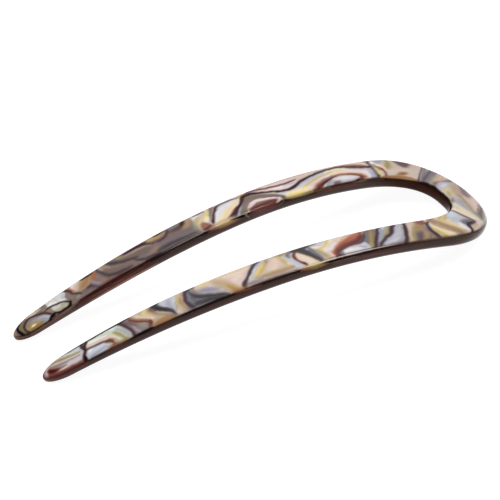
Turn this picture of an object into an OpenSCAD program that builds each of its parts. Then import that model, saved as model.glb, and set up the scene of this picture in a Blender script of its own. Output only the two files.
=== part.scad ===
// A U-shaped hair pin, sawn in one piece from a two-layer acetate sheet and bent to the head.
// It lies arched side up: +X to the bow, +Z up, the origin on the surface under its middle.

/* [Outline] */
// Length along the arch, from the end of the bow to the tips
pin_len = 125; // [100:1:150]
// Width over both prongs at the widest place
pin_w = 40.2; // [34:0.1:48]
// Width over both prongs where their tips start to round
tips_w = 24.6; // [20:0.1:32]
// Distance from the end of the bow to the widest place
bow_len = 19.5; // [14:0.5:26]
// Width of the bow, from its end to the end of the gap
band_w = 9.8; // [6:0.1:14]
// Width of each prong where it leaves the bow
prong_w = 9.75; // [6:0.05:12]
// Width of each prong where its tip starts to round
prong_tip_w = 6.1; // [4:0.1:8]
// Length of the round end of the gap
gap_end_len = 17; // [10:0.5:24]
// Length of each rounded tip
tip_len = 6.7; // [4:0.1:12]

/* [Corners] */
// Squareness of the bow outside, 2 is an ellipse
bow_square = 2.1; // [1.8:0.05:3]
// Squareness of the gap's round end, 2 is an ellipse
gap_square = 2.7; // [2:0.05:3.5]
// Squareness of the tips, 2 is an ellipse
tip_square = 1.9; // [1.6:0.05:2.6]
// How late the prongs draw together, 1 is straight away
taper_power = 1.4; // [1:0.05:2]

/* [Sheet] */
// Thickness of the patterned face layer
face_t = 0.9; // [0.5:0.05:1.5]
// Thickness of the dark back layer
back_t = 2.45; // [1.5:0.05:4]
// Open joint between the layers, as thin as a film of cement
joint_gap = 0.05; // [0.02:0.01:0.1]
// Radius of the tumbled edges
edge_r = 1.45; // [0.4:0.05:1.6]
// Share of the thickness left at the tips
tip_t_share = 0.6; // [0.4:0.05:1]
// Length of the prong ends that thin towards the tips
thin_len = 50; // [20:1:80]

/* [Arch] */
// Radius of the arch over the bow half
bow_arch_r = 149; // [100:1:400]
// Radius of the arch over the tip half
tip_arch_r = 228; // [120:1:600]

/* [Hidden] */

// Steps around half the bow, along a prong and around half a tip
bow_steps = 22;
prong_steps = 20;
tip_steps = 12;
half_steps = bow_steps + prong_steps + tip_steps;
loop_size = 4 * half_steps;
// Rows of points down the edge of each layer
face_rows = 5;
back_rows = 8;

sheet_t = face_t + joint_gap + back_t;
round_r = min(edge_r, sheet_t / 2);
tip_start = pin_len - tip_len;
gap_start = band_w + gap_end_len;
gap_half = pin_w / 2 - prong_w;
gap_tip_half = tips_w / 2 - prong_tip_w;
tip_middle = tips_w / 2 - prong_tip_w / 2;
// Slope of a prong's middle line at the tip, where only its outer edge still leans in
tip_lean = -taper_power * (pin_w - tips_w) / 4 / (tip_start - bow_len);

function limited(x, low, high) = max(low, min(high, x));
function eased(x) = x * x * (3 - 2 * x);

// A quarter of a squared-off ellipse, from its end at angle 0 to its side at angle 90.
function quarter(angle, long, wide, square) =
    [long * (1 - pow(cos(angle), 2 / square)), wide * pow(sin(angle), 2 / square)];

// Half widths of the pin and of the gap at a distance from the end of the bow.
function outer_half(along) =
    let (share = limited((along - bow_len) / (tip_start - bow_len), 0, 1))
    pin_w / 2 - (pin_w - tips_w) / 2 * pow(share, taper_power);
function inner_half(along) =
    let (share = limited((along - gap_start) / (tip_start - gap_start), 0, 1))
    gap_half - (gap_half - gap_tip_half) * eased(share);

// The tip on one edge: side is 1 on the outer edge and -1 on the inner one.
function tip_point(angle, side) =
    let (
        past = tip_len * pow(sin(angle), 2 / tip_square),
        half = prong_tip_w / 2 * pow(cos(angle), 2 / tip_square)
    )
    [tip_start + past, tip_middle + tip_lean * past + side * half];

// Half of each edge in the flat, as [along, across], from the middle of the bow to a tip.
outer_edge = [
    for (i = [0 : bow_steps - 1]) quarter(90 * i / bow_steps, bow_len, pin_w / 2, bow_square),
    for (i = [0 : prong_steps - 1])
        let (along = bow_len + (tip_start - bow_len) * i / prong_steps) [along, outer_half(along)],
    for (i = [0 : tip_steps]) tip_point(90 * i / tip_steps, 1)
];
inner_edge = [
    for (i = [0 : bow_steps - 1])
        [band_w, 0] + quarter(90 * i / bow_steps, gap_end_len, gap_half, gap_square),
    for (i = [0 : prong_steps - 1])
        let (along = gap_start + (tip_start - gap_start) * i / prong_steps) [along, inner_half(along)],
    for (i = [0 : tip_steps]) tip_point(90 * i / tip_steps, -1)
];

// The whole edge as one closed loop: round the outside from tip to tip, then back inside.
function other_prong(point) = [point[0], -point[1]];
edge_loop = [
    for (i = [half_steps : -1 : 1]) other_prong(outer_edge[i]),
    for (i = [0 : half_steps]) outer_edge[i],
    for (i = [half_steps - 1 : -1 : 0]) inner_edge[i],
    for (i = [1 : half_steps - 1]) other_prong(inner_edge[i])
];

// The direction into the material at one point of the loop.
function inward(i) =
    let (
        before = edge_loop[(i + loop_size - 1) % loop_size],
        after = edge_loop[(i + 1) % loop_size],
        run = after - before
    )
    [run[1], -run[0]] / norm(run);

// The sheet's thickness at a distance along the pin, as a share of its full thickness.
function t_share(along) =
    let (share = limited((along - (pin_len - thin_len)) / thin_len, 0, 1))
    1 - (1 - tip_t_share) * share * share;

// How far the rounded edge lies inside the outline at a height from the sheet's middle.
function edge_inset(height) =
    let (above = max(0, abs(height) - (sheet_t / 2 - round_r)))
    round_r - sqrt(max(0, round_r * round_r - above * above));

// A point of the flat sheet, bent on the arch: two arcs that meet at the middle of the length.
function bent(along, across, height) =
    let (
        ahead = pin_len / 2 - along,
        arch_r = ahead > 0 ? bow_arch_r : tip_arch_r,
        turn = ahead / arch_r * 180 / PI
    )
    [(arch_r + height) * sin(turn), across, (arch_r + height) * cos(turn) - arch_r];

// One row of points round the whole edge, at a height from the middle of the full sheet.
function edge_row(height) = [
    for (i = [0 : loop_size - 1])
        let (
            share = t_share(edge_loop[i][0]),
            spot = edge_loop[i] + inward(i) * edge_inset(height) * share
        )
        bent(spot[0], spot[1], height * share)
];

// Heights of the rows, closest where the edge rounds into the flat.
face_heights = [for (i = [0 : face_rows]) sheet_t / 2 - face_t * pow(i / face_rows, 2)];
back_heights = [for (i = [0 : back_rows]) back_t * pow(1 - i / back_rows, 2) - sheet_t / 2];

function layer_points(heights) = [for (height = heights) each edge_row(height)];

// Triangles of a layer with its rows listed from the top down.
function wall_faces(rows) = [
    for (row = [0 : rows - 1])
        for (i = [0 : loop_size - 1])
            let (
                next = (i + 1) % loop_size,
                top = row * loop_size,
                low = top + loop_size
            )
            each [[top + i, top + next, low + next], [top + i, low + next, low + i]]
];
function opposite(i) = (loop_size - i) % loop_size;
function flat_faces(first, up) = [
    for (i = [0 : 2 * half_steps - 1])
        let (
            a = first + i,
            b = first + i + 1,
            c = first + opposite(i + 1),
            d = first + opposite(i),
            pair = i == 0 ? [[a, b, c]] : i == 2 * half_steps - 1 ? [[a, b, d]] : [[a, b, c], [a, c, d]]
        )
        for (face = pair) up ? [face[2], face[1], face[0]] : face
];
function layer_faces(rows) =
    concat(wall_faces(rows), flat_faces(0, true), flat_faces(rows * loop_size, false));

// The pin comes to rest on its bow and its tips: a few rounds of levelling find the tilt.
function lowest(points, tilt, ahead) =
    min([for (p = points) if (p[0] * ahead > 0) p[2] * cos(tilt) - p[0] * sin(tilt)]);
function rest_tilt(points, tilt, rounds) =
    let (rise = lowest(points, tilt, 1) - lowest(points, tilt, -1))
    rounds == 0 ? tilt : rest_tilt(points, tilt + atan(rise / pin_len), rounds - 1);

back_points = layer_points(back_heights);
face_points = layer_points(face_heights);
tilt = rest_tilt(back_points, 0, 4);
function levelled(points) =
    [for (p = points) [p[0] * cos(tilt) + p[2] * sin(tilt), p[1], p[2] * cos(tilt) - p[0] * sin(tilt)]];
level_back = levelled(back_points);
level_x = [for (p = level_back) p[0]];
floor_z = min([for (p = level_back) p[2]]);
middle_x = (min(level_x) + max(level_x)) / 2;

module layer(points, rows) {
    translate([-middle_x, 0, -floor_z])
        polyhedron(levelled(points), layer_faces(rows), convexity = 6);
}

module tortoise_back() {
    color([0.17, 0.08, 0.06])
        layer(back_points, back_rows);
}

module pearl_face() {
    color([0.72, 0.68, 0.62])
        layer(face_points, face_rows);
}

tortoise_back();
pearl_face();
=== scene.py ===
"""The looks of a U-shaped hair pin: a pearl-patterned face on a dark tortoise back, lying arched side up."""

import bpy
import bmesh
import numpy as np
from math import cos, pi, radians, sin, sqrt
from mathutils import Matrix, Vector


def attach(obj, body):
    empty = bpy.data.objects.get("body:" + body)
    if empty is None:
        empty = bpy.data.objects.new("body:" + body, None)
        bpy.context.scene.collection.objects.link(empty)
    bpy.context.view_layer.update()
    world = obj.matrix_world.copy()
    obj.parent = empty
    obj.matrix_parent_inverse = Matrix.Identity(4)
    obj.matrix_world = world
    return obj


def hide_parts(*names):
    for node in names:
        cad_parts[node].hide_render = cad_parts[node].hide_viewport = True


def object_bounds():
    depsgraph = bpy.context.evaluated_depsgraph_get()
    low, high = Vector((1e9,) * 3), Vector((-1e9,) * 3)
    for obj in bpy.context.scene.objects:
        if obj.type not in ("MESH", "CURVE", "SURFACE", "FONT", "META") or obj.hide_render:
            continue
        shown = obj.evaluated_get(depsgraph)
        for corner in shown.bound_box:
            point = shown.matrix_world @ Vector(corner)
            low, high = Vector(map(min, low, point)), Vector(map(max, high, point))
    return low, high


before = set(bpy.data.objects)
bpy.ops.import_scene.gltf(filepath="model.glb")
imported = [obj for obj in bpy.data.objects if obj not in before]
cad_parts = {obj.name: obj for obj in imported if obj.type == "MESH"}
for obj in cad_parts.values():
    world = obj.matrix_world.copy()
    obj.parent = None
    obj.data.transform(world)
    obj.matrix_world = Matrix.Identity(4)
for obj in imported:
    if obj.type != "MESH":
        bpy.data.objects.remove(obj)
cad_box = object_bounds()

# The pearl face.
# The real layer is a thin sheet of cellulose acetate, slabs of pearl and brown acetate pressed and sliced to
# a marbled pattern. It is laminated on the back layer, sawn with it, bent over a warm form and tumbled until
# the edges are round.
scene = bpy.context.scene
MM = 0.001

# The outline in the flat, in millimetres, the same as the solid's
pin_len, pin_w, tips_w = 125.0, 40.2, 24.6
bow_len, band_w, gap_end_len, tip_len = 19.5, 9.8, 17.0, 6.7
prong_w, prong_tip_w = 9.75, 6.1
bow_square, gap_square, tip_square, taper_power = 2.1, 2.7, 1.9, 1.4
face_t, joint_gap, back_t, edge_r = 0.9, 0.05, 2.45, 1.45
tip_t_share, thin_len = 0.6, 50.0
bow_arch_r, tip_arch_r = 149.0, 228.0
rest_tilt = radians(-2.248)

sheet_t = face_t + joint_gap + back_t
tip_start = pin_len - tip_len
gap_start = band_w + gap_end_len
tip_middle = tips_w / 2 - prong_tip_w / 2
tip_lean = -taper_power * (pin_w - tips_w) / 4 / (tip_start - bow_len)


def eased(share):
    """A share from 0 to 1 that sets off and arrives slowly."""
    return share * share * (3 - 2 * share)


def quarter(turn, long, wide, square):
    """A quarter of a squared-off ellipse, from its end at turn 0 to its side at turn 1."""
    return long * (1 - cos(turn * pi / 2) ** (2 / square)), wide * sin(turn * pi / 2) ** (2 / square)


def edge_point(station, outside):
    """A point of the outer or inner edge in the flat: station 0 is the bow, 1 to 2 a prong and 3 its tip."""
    if station < 1:
        if outside:
            return quarter(station, bow_len, pin_w / 2, bow_square)
        along, across = quarter(station, gap_end_len, pin_w / 2 - prong_w, gap_square)
        return band_w + along, across
    if station < 2:
        share = station - 1
        if outside:
            across = pin_w / 2 - (pin_w - tips_w) / 2 * share**taper_power
            return bow_len + (tip_start - bow_len) * share, across
        gap_half = pin_w / 2 - prong_w
        across = gap_half - (gap_half - tips_w / 2 + prong_tip_w) * eased(share)
        return gap_start + (tip_start - gap_start) * share, across
    turn = min(station - 2, 1) * pi / 2
    past = tip_len * sin(turn) ** (2 / tip_square)
    half = prong_tip_w / 2 * max(cos(turn), 0) ** (2 / tip_square)
    return tip_start + past, tip_middle + tip_lean * past + (half if outside else -half)


def inward(station, outside):
    """The direction from an edge into the material, in the flat."""
    if station >= 3:
        return Vector((-1, 0))
    if station <= 0:
        return Vector((1, 0)) if outside else Vector((-1, 0))
    step = 0.002
    ahead = edge_point(min(station + step, 3), outside)
    behind = edge_point(max(station - step, 0), outside)
    run = Vector((ahead[0] - behind[0], ahead[1] - behind[1])).normalized()
    return Vector((run.y, -run.x)) if outside else Vector((-run.y, run.x))


def edge_inset(height):
    """How far the rounded edge lies inside the outline, at a height from the middle of the sheet."""
    above = max(0.0, abs(height) - (sheet_t / 2 - edge_r))
    return edge_r - sqrt(max(0.0, edge_r**2 - above**2))


def bent(along, across, height):
    """A point of the flat sheet on the arch, before it is moved to where it rests, in metres."""
    ahead = pin_len / 2 - along
    arch_r = bow_arch_r if ahead > 0 else tip_arch_r
    turn = ahead / arch_r
    x = (arch_r + height) * sin(turn)
    z = (arch_r + height) * cos(turn) - arch_r
    level_x = x * cos(rest_tilt) + z * sin(rest_tilt)
    level_z = z * cos(rest_tilt) - x * sin(rest_tilt)
    return level_x * MM, across * MM, level_z * MM


def bent_layer(name, heights, prong_steps, across_steps):
    """One layer of the pin as a fine closed skin, with the rows of its wall at some heights, lowest first."""
    # The bow takes a quarter of a prong's steps and the tip an eleventh, so the rings are about as far apart.
    bow_steps = prong_steps // 4
    tip_steps = prong_steps // 11
    half_steps = bow_steps + prong_steps + tip_steps
    stations = [i / bow_steps for i in range(bow_steps)]
    stations += [1 + i / prong_steps for i in range(prong_steps)]
    stations += [2 + i / tip_steps for i in range(tip_steps + 1)]
    # The section runs up the outer wall, over the top, down the inner wall and, on fewer points, back below.
    under_steps = max(4, across_steps // 6)
    section = [(0.0, height) for height in heights]
    section += [(i / across_steps, heights[-1]) for i in range(1, across_steps)]
    section += [(1.0, height) for height in reversed(heights)]
    section += [(1 - i / under_steps, heights[0]) for i in range(1, under_steps + 1)]
    bm = bmesh.new()
    bmesh.ops.create_grid(bm, x_segments=2 * half_steps, y_segments=len(section) - 1, size=1)
    flat = [bm.verts.layers.float.new(kind) for kind in ("along", "across", "depth", "share")]
    for vert in bm.verts:
        ring = round((vert.co.x + 1) * half_steps) - half_steps
        share, height = section[round((vert.co.y + 1) / 2 * (len(section) - 1))]
        station = stations[abs(ring)]
        side = -1 if ring < 0 else 1
        edges = []
        for outside in (True, False):
            place = Vector(edge_point(station, outside))
            worn = max(0.0, (place.x - (pin_len - thin_len)) / thin_len)
            thin = 1 - (1 - tip_t_share) * worn**2
            edges.append((place + inward(station, outside) * edge_inset(height) * thin, thin))
        (outer, outer_thin), (inner, inner_thin) = edges
        spot = outer.lerp(inner, share)
        thin = outer_thin + (inner_thin - outer_thin) * share
        vert.co = bent(spot.x, spot.y * side, height * thin)
        for layer, value in zip(flat, (spot.x, spot.y * side, (sheet_t / 2 - height) * thin, share)):
            vert[layer] = value
    bmesh.ops.remove_doubles(bm, verts=bm.verts, dist=1e-7)
    bmesh.ops.dissolve_degenerate(bm, dist=1e-8, edges=bm.edges)
    bmesh.ops.recalc_face_normals(bm, faces=bm.faces)
    mesh = bpy.data.meshes.new(name)
    bm.to_mesh(mesh)
    bm.free()
    mesh.shade_smooth()
    piece = bpy.data.objects.new(name, mesh)
    scene.collection.objects.link(piece)
    return piece


def corner_values(piece, kind):
    """One value that the layer keeps for each of its corners, as an array."""
    values = np.zeros(len(piece.data.vertices), np.float32)
    piece.data.attributes[kind].data.foreach_get("value", values)
    return values


# The rows crowd towards the top of the wall, where it turns over
face_rows = 12
face_heights = [sheet_t / 2 - face_t * (1 - sin(i / face_rows * pi / 2)) for i in range(face_rows + 1)]
pearl = bent_layer("pearl_sheet", face_heights, prong_steps=340, across_steps=34)

# The acetates of the slabs, as they look in a soft white light, red, green and blue out of 255
acetate = {
    "white": (240, 238, 234),
    "pearl": (226, 222, 222),
    "silver": (196, 194, 202),
    "lavender": (182, 180, 200),
    "steel": (160, 161, 174),
    "slate": (118, 120, 130),
    "ice": (198, 214, 224),
    "jade": (206, 212, 194),
    "shell": (206, 204, 188),
    "sage": (142, 148, 138),
    "cream": (234, 218, 188),
    "butter": (250, 230, 162),
    "straw": (218, 202, 142),
    "gold": (232, 206, 130),
    "mustard": (196, 170, 104),
    "ochre": (150, 122, 62),
    "olive": (158, 146, 96),
    "moss": (118, 112, 84),
    "peach": (230, 204, 184),
    "blush": (220, 196, 190),
    "beige": (204, 188, 176),
    "sand": (188, 168, 144),
    "tan": (170, 142, 112),
    "caramel": (160, 118, 78),
    "rust": (172, 104, 76),
    "brick": (182, 120, 102),
    "cocoa": (146, 104, 94),
    "fawn": (152, 126, 118),
    "chestnut": (116, 66, 58),
    "garnet": (88, 36, 30),
    "maroon": (88, 46, 44),
    "wine": (104, 68, 72),
    "heather": (112, 92, 96),
    "mauve": (140, 122, 126),
    "taupe": (128, 111, 107),
    "dusk": (96, 84, 86),
    "plum": (76, 60, 66),
    "umber": (70, 48, 40),
    "graphite": (72, 70, 72),
    "vein": (64, 46, 50),
    "tortoise": (60, 29, 21),
    # Not an acetate: the painted shade of the walls below the rounding
    "wall_shade": (34, 19, 14),
    "black": (20, 14, 14),
}


def linear(colour):
    """A colour out of 255 as the light it gives back, by the curve that screens use."""
    share = np.array(colour, np.float32) / 255
    return np.where(share > 0.04045, ((share + 0.055) / 1.055) ** 2.4, share / 12.92)


# No line of a real pour is ruled, so the places wander in waves. Each has a reach in millimetres, a pitch
# and a heading, and is curled by a slower wave.
waves = ((0.08, 1.3, 0.4), (0.05, 2.3, 1.9), (0.02, 4.9, 3.1), (0.012, 8.3, 5.3))
axis_turn, wave_start, curl, curl_pitch = 1.3, 7, 0.9, 0.6

# A streak on the face spreads wider and softer than it is drawn. A patch is a little softer on the walls too,
# and a vein less soft than a streak.
face_widen, face_soften = 1.45, 1.9
cell_soften, vein_sharpen = 1.4, 0.75

# A corner is on a wall where its share is this near to an edge. The others are put out of every pour's reach.
wall_share, off_wall = 0.001, 999
tiny = 1e-9


def from_step(x, y, start, end):
    """Where along a straight step each place is nearest to it, as a share, and how far away it is there."""
    run_x, run_y = end - start
    off_x, off_y = x - start[0], y - start[1]
    share = np.clip((off_x * run_x + off_y * run_y) / (run_x**2 + run_y**2 + tiny), 0, 1)
    return share, np.hypot(off_x - run_x * share, off_y - run_y * share)


def smooth_course(points, closed):
    """A smooth curve through the points, in short straight steps."""
    points = np.array(points, np.float32)
    if closed:
        ends = np.vstack([points[-1:], points, points[:2]])
    else:
        ends = np.vstack([2 * points[:1] - points[1:2], points, 2 * points[-1:] - points[-2:-1]])
    steps = 5
    course = []
    for before, start, end, after in zip(ends[:-3], ends[1:-2], ends[2:-1], ends[3:]):
        square = 2 * before - 5 * start + 4 * end - after
        cube = 3 * start - before - 3 * end + after
        for i in range(steps):
            t = i / steps
            course.append((2 * start + (end - before) * t + (square * t**2 + cube * t**3)) / 2)
    course.append(ends[-2])
    return np.array(course)


class Slab:
    """The pattern of a sheet, laid up pour by pour on the flat places of its corners, in millimetres."""

    def __init__(self, piece, ground):
        self.along = corner_values(piece, "along")
        self.across = corner_values(piece, "across")
        self.depth = corner_values(piece, "depth")
        self.share = corner_values(piece, "share")
        wander = np.zeros((2, len(self.along)), np.float32)
        for reach, pitch, heading in waves:
            for axis in (0, 1):
                turn = heading + axis_turn * axis
                phase = (self.along * cos(turn) + self.across * sin(turn)) * pitch + wave_start * turn
                wander[axis] += reach * np.sin(phase + curl * np.sin(curl_pitch * phase + turn))
        self.x = self.along + wander[0]
        self.y = self.across + wander[1]
        self.widen, self.soften = face_widen, face_soften
        self.tint = np.tile(np.array(acetate[ground], np.float32), (len(self.along), 1))

    def onto_wall(self, upper, inner):
        """Later pours go onto one wall, at places along and in depth, and streaks don't spread there."""
        here = np.abs(self.share - int(inner)) < wall_share
        here &= (self.across > 0) == upper
        self.y = np.where(here, self.depth, off_wall)
        self.widen, self.soften = 1.0, 1.0

    def near(self, course, reach):
        """The corners in the box round a course."""
        low = course.min(axis=0) - reach
        high = course.max(axis=0) + reach
        along = (self.x > low[0]) & (self.x < high[0])
        across = (self.y > low[1]) & (self.y < high[1])
        return np.nonzero(along & across)[0]

    def pour(self, colour, corners, cover):
        """Colour laid over what is there, as far as it covers."""
        cover = eased(np.clip(cover, 0, 1))[:, None]
        self.tint[corners] += (np.array(acetate[colour], np.float32) - self.tint[corners]) * cover

    def ribbon(self, colour, *points, soft=0.5, strength=1.0):
        """A streak along a smooth course of points, each of them along, across and the width there."""
        course = smooth_course(points, False)
        course[:, 2] *= self.widen
        soft = soft * self.soften
        corners = self.near(course[:, :2], float(course[:, 2].max()) / 2 + soft)
        x, y = self.x[corners], self.y[corners]
        inside = np.full(len(corners), -np.inf, np.float32)
        for start, end in zip(course[:-1], course[1:]):
            share, away = from_step(x, y, start[:2], end[:2])
            inside = np.maximum(inside, (start[2] + (end[2] - start[2]) * share) / 2 - away)
        self.pour(colour, corners, (inside / soft + 0.5) * strength)

    def cell(self, colour, *points, soft=0.4, strength=1.0):
        """A closed patch inside a smooth loop of points, each of them along and across."""
        loop = smooth_course(points, True)
        soft = soft * cell_soften
        corners = self.near(loop, soft)
        x, y = self.x[corners], self.y[corners]
        nearest = np.full(len(corners), np.inf, np.float32)
        inside = np.zeros(len(corners), bool)
        for start, end in zip(loop[:-1], loop[1:]):
            nearest = np.minimum(nearest, from_step(x, y, start, end)[1])
            # A corner is inside where a line from it along the pin crosses the loop an odd number of times.
            run_x, run_y = end - start
            crossing = run_x * (y - start[1]) / (run_y if abs(run_y) > tiny else tiny) + start[0]
            inside ^= ((start[1] > y) != (end[1] > y)) & (x < crossing)
        signed = np.where(inside, nearest, -nearest)
        self.pour(colour, corners, (signed / soft + 0.5) * strength)

    def vein(self, *points, colour="vein", soft=0.3, strength=0.95):
        """A thin dark line where two pours meet."""
        self.ribbon(colour, *points, soft=soft * vein_sharpen, strength=strength)

    def keep_on(self, piece):
        """Keep the pattern on the sheet as a colour of each corner."""
        layer = piece.data.color_attributes.new("tint", "FLOAT_COLOR", "POINT")
        shades = np.ones((len(self.tint), 4), np.float32)
        shades[:, :3] = linear(self.tint)
        layer.data.foreach_set("color", shades.ravel())


# The pattern, drawn pour by pour, a later one over an earlier one: first the half of the bow and the
# prong on the +Y side
slab = Slab(pearl, "beige")
cell, ribbon, vein = slab.cell, slab.ribbon, slab.vein
ribbon("sand", (9, 15, 1.6), (13, 14.4, 2.4), (17, 14.6, 1.6), soft=1.6, strength=0.5)
ribbon("blush", (12.6, 13.4, 1.4), (15.4, 12.8, 2.2), (18.2, 12.8, 1.4), soft=1.6, strength=0.6)
cell("heather", (9.2, 16.6), (11, 18.7), (13.8, 19.1), (13.8, 16.4), (12.6, 14.3), (11, 14.5), soft=0.9,
     strength=0.9)
ribbon("caramel", (13.6, 11.4, 0.7), (14.9, 11.2, 1.3), (16.5, 10.7, 0.7), soft=0.7, strength=0.85)
ribbon("chestnut", (14.2, 11.2, 0.4), (15.2, 10.9, 0.6), soft=0.7, strength=0.55)
ribbon("caramel", (12.6, 8, 0.4), (14, 9.2, 0.5), (16.4, 10.1, 0.5), (19.4, 10.6, 0.4), (21, 10.6, 0.2),
       soft=0.4, strength=0.8)
ribbon("olive", (15.4, 19, 0.8), (16.2, 16.4, 1.2), (17.6, 14.8, 1.1), (18.6, 14.2, 0.4), soft=0.8,
       strength=0.9)
ribbon("steel", (16.8, 18.9, 0.8), (18.4, 18.2, 1.2), (19.4, 17.5, 0.6), soft=0.8)
ribbon("peach", (18.9, 16.6, 0.5), (18.5, 15, 0.8), (18.8, 13.4, 0.6))
ribbon("white", (20.6, 18.5, 0.5), (20, 17.6, 0.8), (19.3, 16.3, 0.4), soft=0.4)
ribbon("mauve", (6.2, 14, 0.8), (8, 11.9, 0.9), (10, 9.3, 0.8), (11.5, 7.5, 0.6))
ribbon("silver", (7.4, 13.4, 0.4), (9.6, 10.9, 0.6), (11.4, 8.9, 0.5), strength=0.8)
ribbon("slate", (4.8, 12.8, 0.8), (7, 10.7, 1.2), (9, 8.6, 1.2), (11, 6.9, 1.1), (12, 6.4, 0.9), soft=0.6)
ribbon("dusk", (6, 11.8, 0.3), (9, 8.9, 0.5), (11.4, 6.9, 0.5), strength=0.8)
ribbon("mauve", (4, 11.8, 0.8), (6.6, 9.6, 0.9), (8.8, 7.6, 1), (10.4, 6, 1), soft=0.6)
ribbon("sage", (6, 9.5, 0.4), (8, 7.8, 0.8), (10, 6, 0.7), soft=0.6, strength=0.8)
ribbon("sand", (3.2, 10.3, 0.5), (5.4, 8.8, 0.6), (7.6, 7.4, 0.6), (9.4, 5.8, 0.4))
ribbon("peach", (2.4, 8.9, 0.7), (4.2, 8.2, 1), (6.4, 7.2, 0.7), (8, 6.2, 0.4), strength=0.9)
ribbon("slate", (1.6, 7.3, 0.7), (3, 6.8, 1.1), (4.6, 6.5, 0.7), soft=0.8, strength=0.85)
ribbon("brick", (3.2, 9, 0.4), (4.8, 7.9, 0.6), (6.8, 7, 0.5), (8.2, 6.2, 0.3), soft=0.6, strength=0.55)
ribbon("heather", (4.6, 6.5, 0.3), (7, 6.2, 0.6), (8.6, 5.4, 0.9), (9.4, 4.4, 0.7), soft=0.7, strength=0.75)
ribbon("lavender", (4.6, 5.3, 1.1), (6.2, 4.8, 1.8), (7.8, 3.6, 1.4), (8.7, 2.3, 0.7), soft=0.7)
ribbon("pearl", (5.2, 5.1, 0.7), (6.6, 4.4, 1.1), (7.8, 3.5, 0.6), soft=0.8, strength=0.7)
ribbon("sand", (2.4, 5.2, 1), (3.8, 3.6, 1.3), (4.8, 1.4, 1.4), (5.2, -1, 1.2), soft=0.9)
ribbon("mauve", (1.2, 4.2, 0.8), (2.1, 2.2, 1.2), (2.7, 0, 1.5), (2.6, -1.4, 1), soft=1)
ribbon("straw", (6, 3, 0.6), (7.2, 2, 1.2), (7.7, 0.6, 1.3), (7.6, -0.8, 0.9), soft=0.9, strength=0.85)
ribbon("silver", (8.8, 1.6, 0.4), (8.9, 0, 0.5), (8.6, -1.4, 0.4), soft=0.6, strength=0.6)
ribbon("olive", (7.2, 1, 0.6), (8, -0.4, 0.9), (8.2, -1.6, 0.4), soft=0.7, strength=0.6)
vein((6.2, 15, 0.2), (8, 12.9, 0.3), (9.5, 11.1, 0.3), (11, 9.3, 0.3), (12, 8, 0.3), (13.2, 6.8, 0.4),
     colour="plum", strength=0.8)
ribbon("black", (12.2, 7.2, 0.3), (11, 6.1, 0.7), (10, 4.4, 0.8), (9.65, 2.6, 0.7), (9.55, 0, 0.7),
       (9.65, -2, 0.7), (10.3, -4.6, 0.5), (11.2, -6.2, 0.3), soft=0.35, strength=0.8)
ribbon("umber", (12, 7.9, 0.3), (13, 7.7, 0.5), (14.2, 8.2, 0.3), strength=0.6)

# The curl where the bow runs into the prong
ribbon("beige", (20.3, 13.5, 0.8), (20.5, 11.5, 0.8), (21.3, 10, 0.5))
ribbon("tan", (20.1, 17, 0.3), (20.3, 15.6, 0.8), (20.1, 14.2, 0.6))
ribbon("straw", (20.7, 15, 0.4), (20.9, 12.9, 0.7), (21.3, 11.1, 0.5), (21.8, 10, 0.4), soft=0.4)
ribbon("chestnut", (19.9, 15.6, 0.2), (19.3, 14.5, 0.5), (19.3, 13, 0.4), (19.8, 11.2, 0.4), (21, 9.8, 0.4),
       soft=0.4)
ribbon("dusk", (21, 19, 0.6), (21.4, 17.4, 0.7), (21.6, 15, 0.6), (22, 12.6, 0.7), (22.5, 10.4, 0.8))
ribbon("graphite", (19.2, 19.4, 0.4), (21, 19.2, 0.7), (22.8, 19, 0.4), soft=0.6, strength=0.7)
ribbon("graphite", (21.6, 11.6, 0.3), (22.8, 10.8, 0.8), (25, 10.3, 0.6), (26.6, 10.2, 0.2), soft=0.4)
ribbon("lavender", (22.8, 15.4, 0.6), (23, 13.6, 1.3), (23.4, 11.6, 1.1), soft=0.6)
ribbon("steel", (22.6, 13, 0.4), (22.8, 11.4, 0.6), strength=0.7)
ribbon("pearl", (24.3, 14.9, 0.6), (24.4, 12.6, 0.8), (24.9, 10.9, 0.6))

# The long cell with the first eye
cell("pearl", (23.8, 15), (28, 17), (32, 17.4), (36, 16.9), (40, 15.7), (43, 14.3), (45.5, 13), (50, 13),
     (51, 9), (42, 8.8), (30, 9), (25, 10.2), soft=0.5)
ribbon("silver", (24, 15.2, 0.6), (26, 15.9, 0.9), (28.6, 16.5, 0.5), soft=0.6)
ribbon("cream", (28.6, 15.6, 0.6), (31.6, 16.1, 1.1), (34.2, 15.8, 0.8), soft=0.6)
ribbon("straw", (29.4, 16.1, 0.3), (31.8, 16.5, 0.6), (34, 16.3, 0.4), strength=0.7)
ribbon("peach", (27.4, 14.8, 0.9), (25.9, 13.4, 1.2), (25.5, 11.8, 1), (26, 10.6, 0.5), soft=0.6)
ribbon("peach", (26.6, 14, 0.6), (29, 14.9, 0.8), (31.4, 15.1, 0.8), (33.8, 14.8, 0.7), soft=0.4)
ribbon("mustard", (33.4, 16.2, 0.3), (35.8, 15.5, 0.6), (38.4, 14.6, 0.8), (41, 13.4, 0.8), (43.6, 12.1, 0.6),
       soft=0.6, strength=0.8)
ribbon("lavender", (35.4, 16.6, 0.4), (38, 15.9, 0.6), (41, 14.7, 0.6), (43.4, 13.5, 0.6), (45.6, 12.6, 0.4),
       soft=0.4)
ribbon("silver", (41.4, 14.2, 0.4), (44, 13, 0.7), (46.4, 12.4, 0.7), (49.6, 12.3, 0.6))
ribbon("blush", (36.2, 14.1, 0.5), (38.4, 13.4, 0.8), (41, 12.2, 1.2), (42.2, 10.6, 1.2), soft=0.6)
ribbon("cream", (42, 11.8, 0.8), (45.4, 11.6, 1.2), (48, 10.9, 1.2), (49.6, 9.8, 0.6), soft=1)
ribbon("gold", (42, 10.3, 0.2), (45.2, 10.4, 0.6), (48.2, 9.7, 0.4), soft=1, strength=0.45)
ribbon("butter", (43.2, 10.9, 0.4), (46, 10.7, 1), (48.6, 10.1, 0.4), soft=0.8)
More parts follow.
